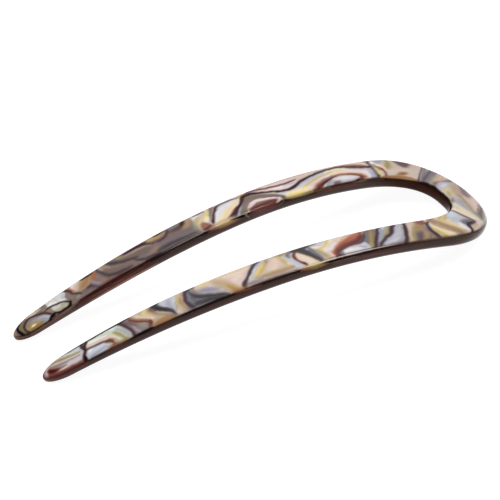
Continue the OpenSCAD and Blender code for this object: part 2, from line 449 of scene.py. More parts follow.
cell("silver", (27.6, 11.6), (29.4, 12.9), (32, 13.4), (34.6, 12.8), (36.6, 11.5), (38, 10.3), (34, 9.8),
     (30, 10.1))
ribbon("pearl", (29, 12.2, 0.5), (31.4, 12.6, 1), (33.6, 12.4, 0.6), soft=0.8)
ribbon("steel", (34.6, 13.1, 0.4), (36.2, 11.8, 0.8), (37.2, 10.8, 0.5))
ribbon("mauve", (33.5, 11.4, 0.8), (34.7, 11.1, 1), soft=0.6)
ribbon("chestnut", (33.9, 11.2, 0.4), (34.6, 11, 0.5), strength=0.6)
ribbon("cocoa", (26, 11.8, 0.9), (27, 13, 1), (29.4, 13.9, 0.8), (32.4, 14.2, 0.7), (35, 13.7, 0.8),
       (37, 12.8, 1), (39, 11.6, 1.3), (40.8, 10.6, 0.8))
ribbon("chestnut", (29.6, 13.8, 0.2), (27.2, 12.6, 0.4), (26.9, 11.4, 0.8), (28.2, 10.6, 0.7), soft=0.4)
ribbon("chestnut", (33, 13.8, 0.2), (35.4, 13.2, 0.3), (37.4, 12.2, 0.5), (39.2, 11.2, 0.8),
       (40.2, 10.6, 0.5), soft=0.4)
ribbon("maroon", (37.8, 12.1, 0.2), (39.2, 11.2, 0.4), (40, 10.6, 0.3), soft=0.3, strength=0.7)
vein((33.6, 13.7, 0.2), (35.6, 13, 0.4), (37.2, 12.1, 0.5), (38.4, 11.4, 0.3), strength=0.7)
vein((27.9, 11, 0.4), (30, 10.3, 0.6), (33, 9.9, 0.7), (36, 9.8, 0.8), (38.4, 10.1, 0.6), colour="black")

# The dark band over it, and the pale strip outside the band
ribbon("blush", (22.6, 19.3, 0.8), (28, 19, 0.9), (34, 18.8, 1), (40, 18.2, 1.1), (46, 17.7, 0.7))
ribbon("sand", (36, 18.7, 0.6), (42, 18, 0.6), (48, 17.7, 0.5), (53, 17.3, 0.5), strength=0.8)
ribbon("peach", (22, 16.9, 0.4), (23.2, 17.5, 1), (26, 18.2, 0.7), (28, 18.5, 0.3))
ribbon("cocoa", (22, 16, 0.6), (24.6, 16.9, 1.2), (28, 17.6, 1), (31, 18, 0.5), soft=0.6)
vein((21.4, 16.4, 0.3), (22.4, 15.9, 0.45), (24.6, 16.4, 0.3), (28, 17.3, 0.35), (32, 17.7, 0.4),
     (36, 17.2, 0.5), (40, 16.1, 0.6), (43, 14.8, 0.7), (45.4, 13.5, 0.8), (47.4, 13.1, 0.65),
     (50, 13.5, 0.6), soft=0.5)
ribbon("plum", (24, 15.9, 0.4), (26, 16.5, 0.6), (28.6, 17, 0.3), soft=0.4, strength=0.7)
ribbon("blush", (43.4, 16.9, 0.3), (46, 16.7, 0.7), (49, 16.7, 0.8), (52.4, 16.9, 0.4), soft=0.4)
cell("blush", (43.4, 15.9), (46, 15.3), (50, 15.5), (54, 16.2), (55.4, 16), (53, 15), (50, 14), (47, 13.7),
     (44.6, 14.4))
ribbon("pearl", (46, 14.7, 0.4), (48.6, 14.8, 0.8), (51, 15.1, 0.4))
ribbon("lavender", (44.2, 15.1, 0.3), (46, 15.1, 0.5), (47.4, 15, 0.3), soft=0.4, strength=0.8)
vein((43.2, 16.6, 0.2), (44.6, 16.1, 0.4), (46.4, 15.8, 0.45), (49, 15.8, 0.45), (52, 16.1, 0.45),
     (54.4, 16.6, 0.45), (56.4, 16.8, 0.5), (57.6, 16.6, 0.3), colour="wine", soft=0.4)
ribbon("steel", (54.4, 16.1, 0.3), (56, 16.3, 0.4), soft=0.4, strength=0.6)

# The second eye, in its taupe cell
cell("taupe", (49.2, 11.2), (52, 13.4), (55, 14.8), (58.4, 15.2), (59.8, 13.4), (61.4, 11.6), (63, 9.6),
     (63, 7.4), (50, 7.4), (49.2, 9.4), soft=0.5)
ribbon("moss", (49.8, 11.2, 0.5), (50.6, 12.1, 0.7), (52, 12.9, 0.5), soft=0.6, strength=0.7)
ribbon("moss", (52, 13.1, 0.4), (55.4, 14, 0.7), (58, 14, 0.8), (59.2, 12.2, 0.7), (60.6, 10.6, 0.6),
       soft=0.6, strength=0.5)
ribbon("steel", (60.4, 12.5, 0.4), (61.4, 11.4, 0.6), (62.6, 10.2, 0.6), (63, 9, 0.5), soft=0.4, strength=0.9)
ribbon("blush", (50, 9.8, 0.7), (51.4, 11.1, 0.7), (53.6, 12.1, 0.9), (56.2, 12.4, 1), (57.8, 11.9, 0.9),
       (59, 10.7, 0.7), (59.7, 9.2, 0.5), soft=0.4)
ribbon("pearl", (52, 11.6, 0.2), (54.4, 12.3, 0.4), (56.6, 12.6, 0.5), (58, 12, 0.3), soft=0.4, strength=0.9)
ribbon("mauve", (57, 13.6, 0.3), (58.8, 12.9, 0.5), (60, 11.2, 0.5), soft=0.4, strength=0.7)
vein((49.4, 10.1, 0.3), (50.6, 11.3, 0.3), (52.6, 12.4, 0.3), (54.6, 12.9, 0.2), colour="dusk")
cell("cocoa", (52, 10), (53.4, 10.9), (55.2, 11.5), (57, 11.3), (58.1, 10.4), (58.4, 9.2), (58, 7.6),
     (53, 7.6), (51.2, 8.8))
ribbon("wine", (52.2, 10.6, 0.2), (54.4, 11, 0.3), (56.8, 11, 0.3), (58.2, 10.5, 0.2), soft=0.3, strength=0.6)
ribbon("mauve", (52.8, 10.4, 0.3), (55.6, 10.5, 0.8), (58, 10.3, 0.3), strength=0.85)
ribbon("silver", (62.4, 10, 0.3), (62.8, 9.2, 0.6), (62.6, 8.5, 0.5), soft=0.4, strength=0.9)

# The dark line down to it, and the cream cell
ribbon("mustard", (57.6, 16.8, 0.5), (58.6, 16.5, 0.7), (59.4, 15.7, 0.4), soft=0.4)
cell("pearl", (60, 16.3), (65.4, 16.1), (66.6, 15), (68, 12.8), (69.3, 10.4), (69.6, 8.4), (66, 8.6),
     (64.6, 9.8), (62.8, 11.8), (60.8, 13.6), (59.8, 14.8))
ribbon("ice", (61.6, 15.2, 0.5), (64, 14.2, 0.8), (66.2, 12.7, 0.8), (68, 10.9, 0.5), soft=0.7, strength=0.4)
ribbon("peach", (60.2, 15.6, 0.5), (60.7, 14.5, 0.7), (62, 13.2, 0.5), (63.6, 11.6, 0.3), soft=0.4,
       strength=0.9)
ribbon("lavender", (61, 16, 0.3), (63.6, 15.7, 0.5), (65.6, 15.1, 0.5), (67, 13.8, 0.3), strength=0.7)
ribbon("cream", (60.9, 14.7, 0.6), (62.8, 13.4, 1.1), (64.6, 12, 1.3), (66.2, 10.7, 1.2), (67.4, 9.7, 0.8),
       soft=0.8)
ribbon("gold", (61.4, 14.5, 0.2), (63, 13.2, 0.5), (64.8, 11.8, 0.6), (66.6, 10.4, 0.6), (68, 9.2, 0.3),
       soft=0.9, strength=0.65)
ribbon("peach", (61.2, 13.6, 0.3), (63, 12.2, 0.5), (65, 10.6, 0.6), (66.6, 9.6, 0.5), soft=0.6, strength=0.8)
ribbon("peach", (63.6, 11.4, 0.3), (65.2, 10, 0.6), (67, 9.2, 0.6))
ribbon("maroon", (60.4, 13.2, 0.4), (61.8, 12.2, 0.7), (63.4, 10.8, 0.8), (65, 9.6, 0.7), soft=0.4)
vein((49.6, 13.5, 0.5), (52, 14.4, 0.5), (54.4, 15.2, 0.6), (56.4, 15.8, 0.8), (58.2, 15.7, 0.8),
     (59.2, 14.7, 0.7), (60.2, 13.4, 0.6), (61.8, 11.9, 0.5), (63.2, 10.4, 0.5), (64.4, 9.6, 0.3), soft=0.4)
vein((59.6, 16, 0.2), (62, 16.2, 0.25), (64.4, 16, 0.3), (66, 15.6, 0.5), (67, 14.3, 0.5), (68, 12.8, 0.5),
     (69, 11.2, 0.6), (69.7, 9.8, 0.6), (70, 9, 0.5), soft=0.5)

# The warm cells past the line, then the long taupe field
cell("beige", (67, 17), (75, 16.4), (75.6, 12), (75, 8), (70.2, 8.4), (69.4, 11.6), (67.6, 14.8))
ribbon("taupe", (66.8, 16.4, 0.6), (67.6, 15.4, 0.8), (68.4, 13.8, 0.6), (69.4, 12, 0.4))
ribbon("straw", (68.4, 15.8, 0.5), (69, 14.5, 0.8), (69.9, 13.4, 0.8), (70.9, 12.8, 0.4))
ribbon("cream", (69.3, 13.2, 0.5), (70, 12.4, 0.9), (70.4, 11.5, 0.6), soft=0.4)
ribbon("pearl", (70.2, 16, 0.5), (71.6, 15.4, 0.9), (72.6, 14.6, 0.7))
ribbon("lavender", (70.8, 15.9, 0.3), (72, 15.5, 0.4), soft=0.4, strength=0.7)
ribbon("mustard", (71.4, 14.4, 0.4), (72.4, 13.4, 0.7), (72.9, 12, 0.5), (73, 10.4, 0.3), strength=0.85)
cell("cocoa", (70.2, 8.8), (70.2, 10.9), (71.3, 12.1), (72.4, 11.2), (72.6, 8.8), soft=0.6)
ribbon("rust", (71, 11.4, 0.4), (71.8, 10.9, 0.5), soft=0.4, strength=0.6)
ribbon("maroon", (70.3, 9.8, 0.3), (71.4, 9.4, 0.4), (72.4, 9.3, 0.2), soft=0.3, strength=0.8)
ribbon("sage", (73, 15.9, 0.3), (73.4, 13.8, 0.6), (73.6, 11.5, 0.7), (73.5, 8.8, 0.8))
ribbon("tan", (73.9, 16.2, 0.6), (74.5, 14.4, 0.7), (75.2, 12.8, 0.6), strength=0.8)
vein((69.2, 15.8, 0.2), (70.6, 15.8, 0.35), (72.2, 15.6, 0.2), colour="graphite")
cell("taupe", (74.8, 16.4), (90, 14.8), (106, 13.6), (106.4, 6.6), (90, 7), (74, 7.6), (74, 11), soft=0.8)
ribbon("mauve", (74.6, 12.6, 0.8), (77, 12.2, 1.2), (80, 11.6, 1), (84, 10.8, 1.4), (86.4, 11.6, 0.8), soft=1,
       strength=0.7)
ribbon("slate", (74.6, 10.7, 0.5), (77, 10.3, 0.8), (80, 10.2, 0.7), (83.4, 10.1, 0.5), soft=0.6,
       strength=0.8)
ribbon("graphite", (74.6, 9.5, 0.5), (78, 9.4, 0.9), (81.6, 9.4, 1.1), (84.6, 9, 0.8), soft=0.7,
       strength=0.85)
ribbon("plum", (75.8, 14.5, 0.7), (77, 13.8, 1.1), (78.6, 13.6, 0.9), (79.8, 13.9, 0.5), soft=0.6,
       strength=0.55)
ribbon("wine", (76.2, 13.7, 0.3), (77.4, 13.3, 0.4), (78.6, 13.2, 0.3), strength=0.35)
ribbon("tan", (74, 16.2, 0.7), (74.1, 14.8, 0.8), (74.7, 13.4, 0.9), (76, 12.8, 0.5), soft=0.6)
ribbon("slate", (77.2, 15.1, 0.6), (78.4, 14.9, 0.7), (79.7, 14.7, 0.4), soft=0.6, strength=0.8)
ribbon("umber", (75.2, 15.8, 0.6), (75.5, 15, 0.8), (76.1, 14.2, 0.5), soft=0.45)
ribbon("tan", (80.4, 14.6, 0.5), (82.6, 14, 0.8), (85.2, 14.3, 0.7), (86, 14.7, 0.4), soft=0.6)
ribbon("mustard", (82.6, 14.2, 0.3), (84, 13.9, 0.6), (85.4, 14.4, 0.4), soft=0.6, strength=0.7)
ribbon("plum", (79.8, 14.4, 0.6), (80.8, 13.2, 0.6), (82.5, 12.5, 0.6), (84.5, 12.5, 0.5), (86, 13.2, 0.6),
       (87, 13.9, 0.6), strength=0.85)
ribbon("umber", (80.6, 15, 0.4), (82, 14.9, 0.6), (83.4, 14.7, 0.4), soft=0.4)
ribbon("vein", (86, 13.9, 0.4), (88, 13.9, 0.7), (90.4, 13.8, 0.7), (92.6, 13.4, 0.3), soft=0.4,
       strength=0.95)
ribbon("blush", (85.4, 12.2, 0.3), (87, 12.8, 0.4), (89.4, 12.9, 0.6), (92.4, 12.7, 0.4), strength=0.6)
ribbon("olive", (92.6, 13.2, 0.4), (93.8, 13.2, 0.7), (94.4, 13.6, 0.4), strength=0.85)
ribbon("moss", (86, 11.5, 0.8), (88.8, 12, 1), (92.4, 12.4, 0.7), soft=0.8, strength=0.6)
ribbon("fawn", (84.2, 12, 0.5), (84.6, 10.8, 1), (86.2, 9.6, 1), (87.4, 9.2, 0.4), soft=0.7, strength=0.9)
ribbon("fawn", (91, 9.8, 0.4), (93.6, 10.4, 0.6), (96, 11.2, 0.6), (97.6, 12.4, 0.5), strength=0.8)
ribbon("cocoa", (93, 10, 0.5), (95.6, 10.2, 0.6), (98, 11, 0.5), soft=0.7, strength=0.35)
ribbon("cocoa", (98.4, 8.8, 0.6), (99.8, 10.4, 0.7), (100.4, 11.8, 0.4), soft=0.6, strength=0.6)
ribbon("slate", (87, 9.8, 0.4), (88.4, 9.9, 0.6), (89.8, 9.6, 0.4), strength=0.8)
ribbon("plum", (85, 8.3, 0.5), (87.2, 8.4, 0.6), (88.8, 8.6, 0.6), (90, 9.2, 0.5), (90.8, 10.2, 0.3),
       strength=0.9)
ribbon("graphite", (90, 10.5, 0.4), (92.2, 10.9, 0.7), (94.2, 11.6, 0.8), (95.8, 12.6, 0.9),
       (96.8, 13.6, 0.8), soft=0.6, strength=0.95)
ribbon("graphite", (92.4, 8.4, 0.5), (95.4, 8.4, 0.9), (98, 9, 0.6), soft=0.6, strength=0.95)
ribbon("graphite", (96, 8.4, 0.4), (98, 9.4, 0.6), (99.2, 11, 0.6), (99.7, 12.5, 0.6), (99.9, 13.6, 0.5),
       strength=0.9)
ribbon("tan", (96.8, 11.6, 0.3), (97.8, 12.6, 0.6), (98.4, 13.5, 0.5), strength=0.9)
ribbon("blush", (98.6, 12, 0.2), (99, 12.9, 0.4), (99, 13.5, 0.3), soft=0.4, strength=0.7)
ribbon("fawn", (100.6, 11, 0.6), (100.2, 9.8, 0.8), (99.8, 8.4, 0.8), soft=0.7, strength=0.8)
cell("tan", (101.6, 12.6), (105, 12.9), (108, 12.9), (107.8, 11), (107, 9.4), (105, 9.2), (102.4, 10.6),
     soft=0.6)
ribbon("caramel", (102.2, 12, 0.6), (103.6, 11.2, 1), (105, 10.2, 0.7), soft=0.7, strength=0.8)
ribbon("beige", (105, 12.6, 0.5), (106, 11.6, 0.9), (106.6, 10.4, 0.7), soft=0.6, strength=0.8)
ribbon("blush", (105.6, 12.7, 0.8), (107, 11.9, 0.9), (107.2, 10.4, 0.5))
ribbon("pearl", (106.8, 12.6, 0.6), (107.2, 11.6, 0.6), strength=0.8)
ribbon("rust", (100.3, 13.2, 0.5), (101, 12, 0.7), (101.8, 10.8, 0.4), strength=0.9)
ribbon("caramel", (100.5, 12.9, 0.2), (101.2, 11.8, 0.3), soft=0.4, strength=0.7)
ribbon("rust", (101.9, 11.2, 0.3), (101.7, 10.2, 0.3), (101.2, 9, 0.2), strength=0.45)
ribbon("plum", (101.8, 7.6, 0.6), (102.8, 8.6, 0.9), (103.7, 9, 0.6), soft=0.8, strength=0.8)
ribbon("dusk", (103.8, 8.7, 0.6), (105.4, 8.3, 0.6), soft=0.8, strength=0.6)
ribbon("steel", (102.2, 10.2, 0.3), (101.8, 9.3, 0.5), (101.2, 8.3, 0.4), soft=0.9, strength=0.9)
ribbon("umber", (103, 9.3, 0.3), (103.8, 9.1, 0.3), strength=0.8)
ribbon("umber", (100.9, 13.1, 0.4), (102.5, 12.9, 0.7), (104.2, 12.7, 0.4), soft=0.4)
ribbon("umber", (76, 12, 3), (84, 11.4, 3), (92, 10.8, 3), (99, 9.6, 3), soft=2, strength=0.24)

# The last cells and the eye in the tip
cell("taupe", (108.8, 12.6), (110.4, 12.6), (109.8, 9), (110, 5.8), (106, 5.6), (106.4, 8.4), (107.8, 10))
ribbon("steel", (106.6, 8.2, 0.4), (107.4, 7.9, 0.5), strength=0.7)
ribbon("moss", (108, 8.2, 0.6), (108.9, 7.6, 0.7), (109.2, 7, 0.4), strength=0.8)
ribbon("slate", (109.6, 11.4, 0.3), (109.3, 10, 0.4), soft=0.4, strength=0.7)
ribbon("fawn", (108.4, 8.6, 0.6), (109, 10.2, 0.6), (109.5, 12, 0.4), soft=0.6, strength=0.6)
ribbon("rust", (108.2, 12.4, 0.3), (107.6, 11.4, 0.5), (107, 10.2, 0.3), soft=0.4, strength=0.85)
cell("pearl", (109.6, 12.4), (115.2, 12), (114.6, 10.4), (112.6, 9.8), (110.6, 9.3), (109.9, 10.4))
ribbon("steel", (109.9, 11.8, 0.3), (110.2, 10.4, 0.4), strength=0.7)
ribbon("shell", (111, 11.4, 0.8), (112.8, 11.2, 1.1), (114.4, 11.4, 0.7), soft=0.7, strength=0.6)
ribbon("steel", (110.5, 12, 0.1), (110.4, 10.2, 0.15), soft=0.2, strength=0.7)
ribbon("steel", (112, 12, 0.1), (111.8, 10.2, 0.15), soft=0.2, strength=0.6)
ribbon("sage", (113.2, 12, 0.1), (112.8, 10.2, 0.15), soft=0.2, strength=0.5)
ribbon("white", (112.4, 10.4, 0.4), (114, 10.9, 0.8), (115, 11.2, 0.3))
ribbon("straw", (110.6, 10.8, 0.2), (111.6, 10.6, 0.4), (112.6, 11.2, 0.2), strength=0.45)
ribbon("sage", (113.6, 11.6, 0.2), (114.4, 11, 0.3), soft=0.4, strength=0.6)
ribbon("ice", (110.4, 11.7, 0.3), (112.4, 11.8, 0.4), soft=0.4, strength=0.7)
cell("taupe", (115.4, 12.2), (125, 11), (125.4, 6), (122, 4.4), (109.4, 4.4), (109, 7.6), (112, 9.5),
     (114.6, 9.8))
cell("shell", (110, 8.2), (111, 9.1), (113.6, 9.5), (113.8, 8.7), (113.2, 7.4), (111, 7), soft=0.35)
ribbon("olive", (110.6, 7.6, 0.3), (111.8, 7.7, 0.6), (113.2, 7.9, 0.3), soft=0.7, strength=0.7)
ribbon("tan", (111, 7.3, 0.2), (112.2, 7.3, 0.4), (113, 7.6, 0.2), strength=0.7)
ribbon("blush", (112.2, 8.6, 0.2), (113.2, 8.8, 0.3), soft=0.4, strength=0.8)
ribbon("silver", (111.6, 8.9, 0.2), (113.2, 9, 0.3), soft=0.4, strength=0.8)
ribbon("sage", (110.4, 8.1, 0.3), (111.4, 8.4, 0.5), soft=0.3, strength=0.7)
ribbon("fawn", (116.2, 12, 0.7), (115.7, 10.9, 0.8), (114.9, 9.6, 0.7), (114.4, 8.4, 0.5), soft=0.4,
       strength=0.8)
ribbon("dusk", (116, 11.9, 0.3), (115.5, 10.8, 0.3), strength=0.6)
ribbon("cream", (116.6, 11.3, 0.5), (118.4, 11.1, 0.7), (120, 10.9, 0.3), strength=0.8)
cell("steel", (115, 7.1), (116.4, 8.7), (118.7, 9.9), (120.4, 9.5), (121.5, 8.2), (121, 6.9), (118.8, 6.3),
     (116, 6.4), soft=0.3)
ribbon("silver", (115.2, 7.3, 0.4), (116.6, 8.3, 0.4), (117.6, 8.8, 0.2), soft=0.4, strength=0.9)
ribbon("sage", (116.4, 7.8, 0.5), (118, 8.9, 0.7), soft=0.7, strength=0.45)
ribbon("mauve", (117.4, 9.4, 0.3), (119, 9.7, 0.6), (120.4, 9.2, 0.7), (121.2, 8.2, 0.5), strength=0.9)
cell("ochre", (117.2, 6.9), (118.4, 8.1), (120, 8.7), (121.3, 8), (121, 6.6), (119.4, 6.1), soft=1)
ribbon("mustard", (118.2, 7.6, 0.3), (119.6, 7.8, 0.7), (120.8, 7.4, 0.3), soft=0.6, strength=0.8)
# A white glint in the gold core: a painted highlight
ribbon("white", (119.3, 7.6, 0.35), (120, 7.5, 0.35), soft=0.3)
ribbon("moss", (121.4, 10.6, 0.6), (122.5, 9.2, 0.7), (122.7, 7.8, 0.7), (122.2, 6.4, 0.6), strength=0.8)
ribbon("umber", (109.1, 12.4, 0.5), (108.1, 11.2, 0.5), (107.7, 10, 0.4), (106.7, 9, 0.4), (106.3, 8.2, 0.2),
       soft=0.4)
vein((109, 12.6, 0.3), (111, 12.5, 0.3), (113.4, 12.3, 0.25), (115.6, 12.1, 0.2), (119, 11.7, 0.15),
     colour="graphite")
vein((109.4, 7.6, 0.4), (110.4, 8.8, 0.4), (112, 9.5, 0.4), (114.4, 9.9, 0.4), (115.6, 9.6, 0.2))
vein((109.3, 7.9, 0.4), (109.9, 7, 0.5), (111.2, 6.7, 0.5), (113, 6.75, 0.4), (113.8, 7.3, 0.2),
     colour="black")
ribbon("caramel", (110.8, 6.6, 0.1), (112, 6.45, 0.2), (113.2, 6.65, 0.1), soft=0.2, strength=0.6)
vein((114.6, 7.4, 0.4), (115.6, 8.9, 0.4), (117, 9.8, 0.4), (119, 10.4, 0.4), (120.6, 10.2, 0.4),
     (121.6, 9.2, 0.4), (122, 7.8, 0.4), (121.4, 6.5, 0.4), (119.5, 5.8, 0.5), (117, 5.8, 0.6),
     (115, 6.2, 0.8), (114.4, 6.8, 0.6), (114.6, 7.4, 0.4), colour="umber", soft=0.4, strength=1)
vein((114, 7.2, 0.4), (115, 6.8, 0.6), (116, 6.5, 0.2), colour="black")
vein((121.2, 11.2, 0.15), (122.6, 10.4, 0.25), (123.3, 9.3, 0.4), (123.3, 8, 0.5), (122.8, 6.9, 0.35),
     (122, 6, 0.15), colour="black")
ribbon("tan", (123, 11, 0.3), (124.2, 9.6, 0.4), (124.6, 8, 0.5), (124.1, 6.4, 0.4), soft=0.4, strength=0.8)

# The half of the bow on the -Y side
ribbon("blush", (1.4, -2.6, 1), (2.6, -4.4, 1.6), (3.6, -7, 1.2), (5, -9.4, 0.8), soft=1)
ribbon("tan", (5.2, -1, 0.8), (5.6, -4, 0.9), (6, -7, 0.9), (6.2, -9, 0.5), soft=0.8, strength=0.8)
ribbon("lavender", (7, -1.6, 0.8), (7.6, -3.6, 1.3), (7.6, -6, 1.3), (7.4, -8.6, 0.6), soft=0.9, strength=0.8)
ribbon("slate", (7.4, -4, 0.4), (7.4, -6.6, 0.7), (7, -9, 0.4), soft=0.9, strength=0.45)
ribbon("sage", (6.6, -2.6, 0.4), (6.6, -4.4, 0.6), soft=0.7, strength=0.6)
ribbon("dusk", (8.2, -2.2, 0.3), (8.9, -3.4, 0.8), (9.5, -4.6, 0.4), soft=0.7, strength=0.7)
ribbon("wine", (1.8, -5.4, 0.2), (3, -6.7, 0.35), (4.6, -8.7, 0.25), (6, -10.4, 0.15), strength=0.6)
ribbon("taupe", (2.4, -7.2, 0.5), (4, -9.2, 0.9), (5.4, -11.2, 1), (6.6, -13.2, 0.6), soft=0.7)
ribbon("steel", (2.6, -9, 0.5), (4, -11, 0.8), (5.6, -13, 0.5), soft=0.6, strength=0.8)
ribbon("sage", (6.4, -9.6, 0.5), (6.4, -11.4, 0.7), (7, -13, 0.4), soft=0.6)
ribbon("shell", (9.2, -5, 0.8), (9, -7.4, 1.3), (8.4, -10, 1.3), (7.6, -12.4, 1.2), (7.4, -14.6, 0.9),
       soft=0.8)
ribbon("cream", (9.2, -5.4, 0.6), (9, -8, 1), (8.4, -10.4, 1), (7.8, -12.8, 0.8), soft=0.8, strength=0.6)
ribbon("cream", (11.2, -7.2, 0.7), (10.3, -9.2, 1.6), (9.3, -11.4, 1.4), (8.3, -13.2, 0.8), soft=0.9)
ribbon("peach", (11.6, -8, 0.4), (10.7, -9.8, 0.7), (9.7, -11.8, 0.6), (8.8, -13.4, 0.5), soft=0.6,
       strength=0.8)
ribbon("blush", (8, -13.6, 0.8), (8.6, -15.2, 0.9), (10.2, -16.6, 0.7), (11.8, -18, 0.6), strength=0.9)
ribbon("sand", (9.4, -15.6, 0.6), (11, -16.6, 0.8), (12.4, -18.4, 0.5), strength=0.7)
ribbon("taupe", (5, -13.4, 0.4), (7.2, -15.8, 0.6), (9.6, -17.6, 0.8), (12.4, -19.4, 0.7), strength=0.8)

# The pale cell in the corner and the warm ones after it
cell("silver", (12.4, -8.2), (15, -8.4), (16.5, -10), (16.6, -13), (15, -16), (13.6, -18.4), (12.6, -17),
     (12, -15), (10.2, -13.6), (10.8, -11), soft=0.5)
ribbon("ice", (12.8, -9, 0.7), (13.4, -10.2, 1.4), (14.6, -11, 1), soft=0.9, strength=0.8)
ribbon("lavender", (11.6, -12.6, 0.7), (13.6, -12.4, 1), (15.8, -12, 0.8), soft=0.7, strength=0.35)
ribbon("slate", (10.2, -13.3, 0.7), (12, -13.9, 1.4), (13.2, -14.7, 0.9), soft=0.9)
ribbon("pearl", (14, -14.6, 0.7), (14, -16, 1.2), (13.3, -17.8, 0.6), soft=0.6)
ribbon("white", (15.4, -14, 0.3), (14.6, -15.4, 0.6), strength=0.6)
cell("sand", (15.2, -9), (22.8, -10), (22.6, -12.6), (20.6, -16), (18.2, -19.6), (14.4, -18.8), (15.2, -16),
     (16.4, -13.4), (16, -11), soft=0.5)
ribbon("mustard", (15.8, -9.9, 0.6), (17.2, -11.2, 1.1), (17.2, -13, 1), (15.8, -15, 0.8), soft=0.9,
       strength=0.6)
ribbon("cream", (15.6, -12.4, 0.4), (16.8, -13, 0.8), (16, -14.8, 0.8), (14.8, -16.8, 0.5), soft=0.8,
       strength=0.85)
ribbon("gold", (16.6, -10.8, 0.3), (17.8, -12, 0.6), (17.8, -13.4, 0.6), (16.4, -15.2, 0.5), (15, -17.2, 0.4),
       soft=0.7, strength=0.8)
ribbon("cream", (18, -10.2, 0.6), (19.4, -11.4, 0.6), (19, -13, 0.6), (17.2, -15, 0.5), strength=0.8)
ribbon("tan", (19.8, -12.8, 0.8), (18.6, -15, 1.4), (17.2, -17, 1.6), (16, -18.6, 1), soft=0.8)
ribbon("caramel", (19.4, -14.4, 0.3), (18, -16.4, 0.5), (16.8, -17.8, 0.4), soft=0.8, strength=0.5)
ribbon("taupe", (17.6, -17.2, 0.4), (16.6, -18.6, 0.8), soft=0.7, strength=0.6)
ribbon("tan", (20.4, -10.8, 0.8), (20.8, -12.4, 1), (20, -14.4, 0.9), soft=0.7, strength=0.6)
ribbon("cocoa", (20.2, -10.8, 0.7), (21.4, -11.6, 1), (21, -13, 0.6), soft=0.8, strength=0.65)
cell("cream", (22.5, -12.8), (23.2, -14.6), (22.6, -17), (21.2, -19.4), (18.6, -19.6), (18.2, -18.6),
     (20, -16.8), (21.6, -14.6), soft=0.35)
ribbon("gold", (22.2, -14.4, 0.3), (21.6, -16.2, 0.5), (20.2, -18.4, 0.5), strength=0.7)
ribbon("mustard", (22.7, -15.2, 0.4), (22.2, -17.2, 0.9), (21.2, -19.2, 0.9), soft=0.6, strength=0.85)
ribbon("peach", (21.4, -15.4, 0.3), (20, -17, 0.6), (18.8, -18.4, 0.4), soft=0.4, strength=0.7)
ribbon("ice", (22.2, -13.2, 0.4), (22.5, -14.2, 0.3), soft=0.4)
cell("tan", (24.4, -10.4), (29.4, -10.6), (30.6, -14), (32, -20), (24, -20), (24.4, -14), soft=0.5)
ribbon("mauve", (24.6, -12.4, 0.6), (24.8, -15, 0.8), (24.6, -18, 0.7), soft=0.6, strength=0.8)
ribbon("beige", (26, -11, 0.7), (27.2, -12, 1.2), (28.4, -14, 1), (29.6, -16.4, 0.7), (30.6, -19.2, 0.6),
       soft=0.7)
ribbon("olive", (25.4, -14.8, 0.6), (27, -14.6, 0.8), (28.4, -15.6, 0.6), (29.4, -17.2, 0.5),
       (30.2, -19, 0.4), soft=0.6, strength=0.85)
ribbon("taupe", (26.4, -16, 0.9), (27.6, -16.8, 1.2), (28.8, -18.4, 1), soft=0.8, strength=0.9)
ribbon("dusk", (26.9, -16.8, 0.5), (27.6, -17.7, 1.1), (28.5, -18.9, 0.9), soft=0.8, strength=0.8)
ribbon("moss", (25, -18, 0.6), (25.6, -19.2, 0.6), soft=0.6, strength=0.7)
cell("cocoa", (26.2, -10.4), (25.8, -12.4), (24.6, -13.5), (22.9, -13.1), (23.2, -11.7), (24, -10.4),
     soft=0.5)
ribbon("chestnut", (25, -11.4, 0.3), (24.4, -12.3, 0.5), (23.6, -12.8, 0.4), soft=0.6, strength=0.6)
ribbon("caramel", (25.4, -13.4, 0.5), (26.4, -14, 0.8), (27.4, -14, 0.4), soft=0.8, strength=0.5)
ribbon("peach", (22.6, -10.6, 0.5), (22.6, -11.6, 0.4), (22.4, -12.2, 0.2), soft=0.4)
vein((22.2, -12.4, 0.3), (23, -13.4, 0.6), (23.6, -15, 0.9), (23.6, -17.4, 0.9), (23.2, -19.8, 0.9),
     colour="dusk", soft=0.6)
vein((22.4, -12.6, 0.2), (23.1, -13.5, 0.4), (23.5, -15, 0.5), (23.5, -17.4, 0.6), (23.2, -19.4, 0.5),
     colour="plum")
vein((12.4, -8.2, 0.4), (11.4, -9.8, 0.45), (10.4, -11.6, 0.5), (9.5, -13.2, 0.6), (9.4, -14, 0.7),
     (10.4, -14.6, 1), (11.8, -15.1, 1), (12.4, -16.2, 0.6), (12.5, -17.4, 0.4), (13, -18.8, 0.4),
     colour="dusk", soft=0.7)
vein((10, -14.3, 0.4), (11.6, -15, 0.7), (12.4, -15.9, 0.6), (12.4, -17, 0.4), (13, -18.6, 0.4),
     colour="plum")
ribbon("maroon", (12.3, -17.2, 0.2), (12.9, -18.4, 0.3), (13.2, -19, 0.3), soft=0.3, strength=0.8)
ribbon("vein", (12.8, -18.7, 0.2), (14, -19.3, 0.5), (16.4, -19.6, 0.6), (18.6, -19.9, 0.5), (20, -20.1, 0.3),
       soft=0.3)
vein((18.4, -19.9, 0.2), (20.2, -20.2, 0.3), (22, -20, 0.5), (23.3, -19.3, 0.5), colour="plum")

